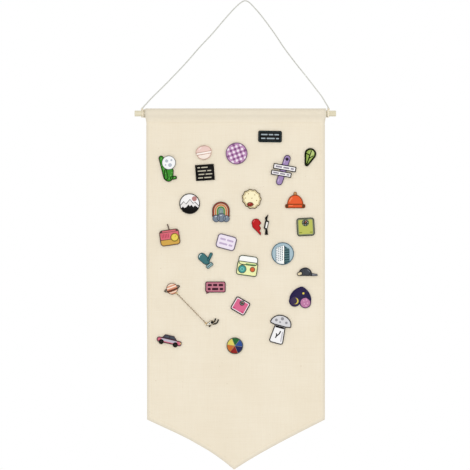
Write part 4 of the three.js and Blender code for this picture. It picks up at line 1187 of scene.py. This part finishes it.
pins["colour_wheel"] = {
    "rim": "#22332a", "lead": "#8f8a76", "blue": "#2a4a8c", "green": "#1f5f30", "yellow": "#d9c95f",
    "orange": "#c06a2c", "red": "#8a1f1c", "navy": "#1f2152",
    "paint": [
        (field, "lead", disc(0, 0, wheelRadius), wheelRim),
        *((patch, colour, sector(i * 60 - 8))
          for i, colour in enumerate(("blue", "green", "yellow", "orange", "red", "navy")))]}

pins["mushroom"] = {
    "tilt": 15, "rim": "#0e0d0f", "white": "#efeeee", "hat": "#d3d2d4", "slot": "#080708", "dot": "#8f8e93",
    "shade": "#bcbabf",
    "paint": [
        (field, "white", [(7.6, 6), (-7.6, 6)] + arc(-6.4, -16.8, 3.6, 180, 270, 8) +
         arc(6.4, -16.8, 3.6, 270, 360, 8), 1.35),
        (patch, "shade", capsule(6.2, -15.6, 5.4, -3, 1.8)),
        (patch, "slot", box(0, 3, 12.6, 2.8, 0.5), stroke([(2.4, -2), (1.6, -6), (-1.6, -10.4)], 1.7),
         stroke([(-2.6, -6.4), (-1.4, -9), (-2.2, -13)], 1.7)),
        (field, "hat", arc(0, 7.2, 15.2, 8, 172, 36, 13.2) + arc(-13.4, 7.4, 1.8, 180, 270, 6) +
         [(-8, 4.6), (8, 4.6)] + arc(13.4, 7.4, 1.8, 270, 360, 6), 1.35),
        (patch, "dot", disc(-7.4, 11.6, 2, 24), disc(0.4, 15.4, 2.3, 24), disc(7.2, 11.2, 1.8, 24),
         disc(-1.6, 10, 1.3, 24))]}


def buildPost():
    radius, long, notch = post["radius"], post["length"], post["notch"]
    deep, half, foot = radius - post["notchDeep"], post["notchWide"] / 2, radius * post["foot"]
    blunt, rise = post["point"]
    low, middle, high = post["solder"]
    return turned([(0, -long), (radius * blunt, rise - long), (radius, post["tip"] - long),
                   (radius, -notch - half), (deep, -notch - half / 3), (deep, -notch + half / 3),
                   (radius, -notch + half), (radius, low), (foot, middle), (foot, high), (0, high)],
                  post["sides"])


def slotOf(node):
    return next(row["material_slot"] for row in frame["record"]["subparts"] if row["node"] == node)


# Puts a piece on its pin's place, in place of its node
def seat(piece, kind, node, place, angle=35):
    finishPiece(piece, kind + node, place, frame["nodes"][node]["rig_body"], node, slotOf(node), angle)


def makePin(name, look):
    art = PinArt(look)
    for step, *rest in look["paint"]:
        step(art, *rest)
    solids = [made for made, _, _ in art.solids]
    toMesh(*solids)
    bpy.ops.object.transform_apply(location=True, rotation=True, scale=True)
    weld(*solids)
    for made, colour, finish in art.solids:
        layer = made.data.attributes.new("paint", "FLOAT_COLOR", "POINT")
        layer.data.foreach_set("color", colour * len(made.data.vertices))
        made.data.materials.append(finish)
    piece = joined(solids + [copyOf(postModel)])
    seat(piece, "enamel_", "pin_" + name, pinPlace(name, look.get("tilt", 0)), 40)


postModel = buildPost()
postModel.data.materials.append(looks["brass"])
for name, look in pins.items():
    makePin(name, look)
bpy.data.objects.remove(postModel)
print("pins made")


# Butterfly clutches, modelled once

clutch = {"flange": 4.7, "flangeHigh": 0.9, "edge": (0.3, 0.25), "dish": (1.1, 0.2), "hub": 2.3,
          "hubHigh": 4.9, "collar": (0.3, 0.1, 0.4), "dome": [(0.1, 1.5), (0.6, 0.4), (1.1, 0)],
          "bore": 0.75, "sides": 36,
          "wingWide": 5.2, "wingThick": 0.55, "wingSoften": 0.14,
          "wing": [(1.5, -1.1), (3.2, -1.25), (4.6, -1.9), (5.5, -2.8), (6.0, -3.3)], "behind": 1.5}


def buildClutch():
    flange, hub, bore = clutch["flange"], clutch["hub"], clutch["bore"]
    high, rise = clutch["hubHigh"], clutch["flangeHigh"]
    (edge, soft), (dish, sunk), (flare, above, below) = clutch["edge"], clutch["dish"], clutch["collar"]
    dome = [(hub - inset, up - high) for inset, up in clutch["dome"]]
    parts = [turned([(bore, 0), (flange - edge, 0), (flange, -soft), (flange, soft - rise),
                     (flange - edge, -rise), (flange - dish, sunk - rise), (hub + flare, above - rise),
                     (hub, -rise - below), *dome, (bore, -high), (bore, 0)], clutch["sides"])]
    for turn in (0, math.pi):
        wide = clutch["wingWide"] / 2
        wing = flatSolid([stroke(clutch["wing"], clutch["wingThick"])], -wide, wide, clutch["wingSoften"])
        toMesh(wing)
        wing.rotation_euler = (math.pi / 2, 0, turn)
        applyAll(wing)
        weld(wing)
        parts.append(wing)
    piece = joined(parts)
    piece.data.materials.append(looks["brass"])
    return piece


clutchModel = buildClutch()
behindCloth = Matrix.Translation((0, 0, -clutch["behind"] * mm))
for name, look in pins.items():
    place = pinPlace(name, look.get("tilt", 0)) @ behindCloth
    seat(copyOf(clutchModel), "butterfly_", "clutch_" + name, place)
bpy.data.objects.remove(clutchModel)
print("clutches made")


# Chain

def buildChain():
    wire, reach = chain["wire"], chain["hole"] + chain["wall"] / 2
    start = planetAt + chainWay * (chain["planetRadius"] + chain["hole"] + reach)
    end = rocketAt + noseAt - chainWay * (chain["noseRadius"] + chain["hole"] + reach)
    clear = (end - start).length - 2 * chain["ringRadius"]
    count = round(clear / (chain["link"] - 2 * wire) / 2) * 2 + 1
    pitch = (clear + wire) / count
    bend = chain["width"] / 2 - wire / 2
    bpy.ops.mesh.primitive_torus_add(major_segments=16, minor_segments=8, major_radius=bend,
                                     minor_radius=wire / 2)
    model = bpy.context.object
    for side in (-1, 1):  # drawn out to a long link
        editWhere(model, lambda co: co.x * side > 0.01)
        bpy.ops.transform.translate(value=(side * (pitch + wire - bend * 2) / 2, 0, 0))
    bpy.ops.object.mode_set(mode="OBJECT")
    links = []
    sway, often = chain["sway"]
    for i in range(count):
        link = copyOf(model)
        link.location.x = chain["ringRadius"] - wire / 2 + pitch * (i + 0.5)
        link.rotation_euler.x = math.pi / 2 * (i % 2) + sway * math.sin(i * often)
        links.append(link)
    for x in (0, (end - start).length):
        bpy.ops.mesh.primitive_torus_add(major_segments=20, minor_segments=8, minor_radius=wire / 2,
                                         major_radius=chain["ringRadius"], location=(x, 0, 0),
                                         rotation=(math.pi / 2, 0, 0))
        links.append(bpy.context.object)
    for link in links:
        applyAll(link)
    bpy.data.objects.remove(model)
    piece = joined(links)
    piece.data.materials.append(looks["gold"])
    level = pinBuild["back"] - chain["level"]
    place = canvasPlace @ Matrix.Translation(Vector((start.x, level, start.y)) * mm) @ \
        Matrix.Rotation(math.pi / 2, 4, "X") @ Matrix.Rotation(math.atan2(chainWay.y, chainWay.x), 4, "Z")
    finishPiece(piece, "gold_chain", place, "banner", "link_chain", "gold_chain", 60)


buildChain()
print("chain made")

# lengths run from the dowel's axis, and wrap is the share of a turn that the cloth goes round the dowel
wide, hem = canvas["half"] * 2, canvas["hem"]
cutLong = canvas["point"] + hem + canvas["flap"] + 2 * math.pi * canvas["sleeve"] * canvas["wrap"]
(wide + 2 * hem) * mm
cutLong * mm
(wide + 2 * hem) * (cutLong - (canvas["point"] - canvas["corner"]) / 2) * mm * mm


# Camera, light, a pale floor and a white background, in metres

view = {"distance": 6.0, "across": 0.658, "middle": (-0.01414, -0.3272), "sensor": 36, "ambient": 0.86,
        "lamps": {"key": ((0.25, -3.0, -0.1), 1.6, 22.5), "back": ((0.5, 1.6, 0.1), 1.2, 6.0)},
        "floor": (2.4, -1.9), "floorTone": "#f4f4f4"}


def areaLight(name, place, size, power):
    light = bpy.data.lights.new(name, "AREA")
    light.size, light.energy = size, power
    lamp = bpy.data.objects.new(name, light)
    aim = Vector((view["middle"][0], 0, view["middle"][1]))
    lamp.location = place
    lamp.rotation_euler = (aim - Vector(place)).to_track_quat("-Z", "Y").to_euler()
    bpy.context.collection.objects.link(lamp)


# White to the eye, in mirrors and through glass, and the given light elsewhere
def whiteTo(shade, kind, light):
    rays = [shade.node("LightPath", output=name) for name in
            ("Is Camera Ray", "Is Glossy Ray", "Is Transmission Ray")]
    seen = shade.sums("MAXIMUM", shade.sums("MAXIMUM", rays[0], rays[1]), rays[2])
    white = shade.node(kind, None, {"Color": (1, 1, 1, 1), "Strength": 1.0})
    return shade.node("MixShader", None, {0: seen, 1: light, 2: white})


def buildFloor():
    size, level = view["floor"]
    bpy.ops.mesh.primitive_plane_add(size=size, location=(0, 0, level))
    floor = bpy.context.object
    floor.name = floor.data.name = "pale_floor"
    applyAll(floor)
    material, shade, _ = startMaterial("pale_floor")
    plain = shade.node("BsdfDiffuse", None, {"Color": tint(view["floorTone"])})
    showSurface(material.node_tree, whiteTo(shade, "Emission", plain))
    floor.data.materials.append(material)


def buildStage():
    lens = bpy.data.cameras.new("camera")
    lens.sensor_width, lens.lens = view["sensor"], view["sensor"] * view["distance"] / view["across"]
    camera = bpy.data.objects.new("camera", lens)
    camera.location = (view["middle"][0], -view["distance"], view["middle"][1])
    camera.rotation_euler = (math.pi / 2, 0, 0)
    bpy.context.collection.objects.link(camera)
    bpy.context.scene.camera = camera
    for name, lamp in view["lamps"].items():
        areaLight(name, *lamp)
    world = bpy.data.worlds.new("studio")
    bpy.context.scene.world = world
    world.use_nodes = True
    world.node_tree.nodes.clear()
    shade = Shade(world.node_tree)
    lit = shade.node("Background", None, {"Color": (1, 1, 1, 1), "Strength": view["ambient"]})
    showSurface(world.node_tree, whiteTo(shade, "Background", lit), "World")
    bpy.context.scene.view_settings.view_transform = "Standard"


buildFloor()
buildStage()
print("stage made")
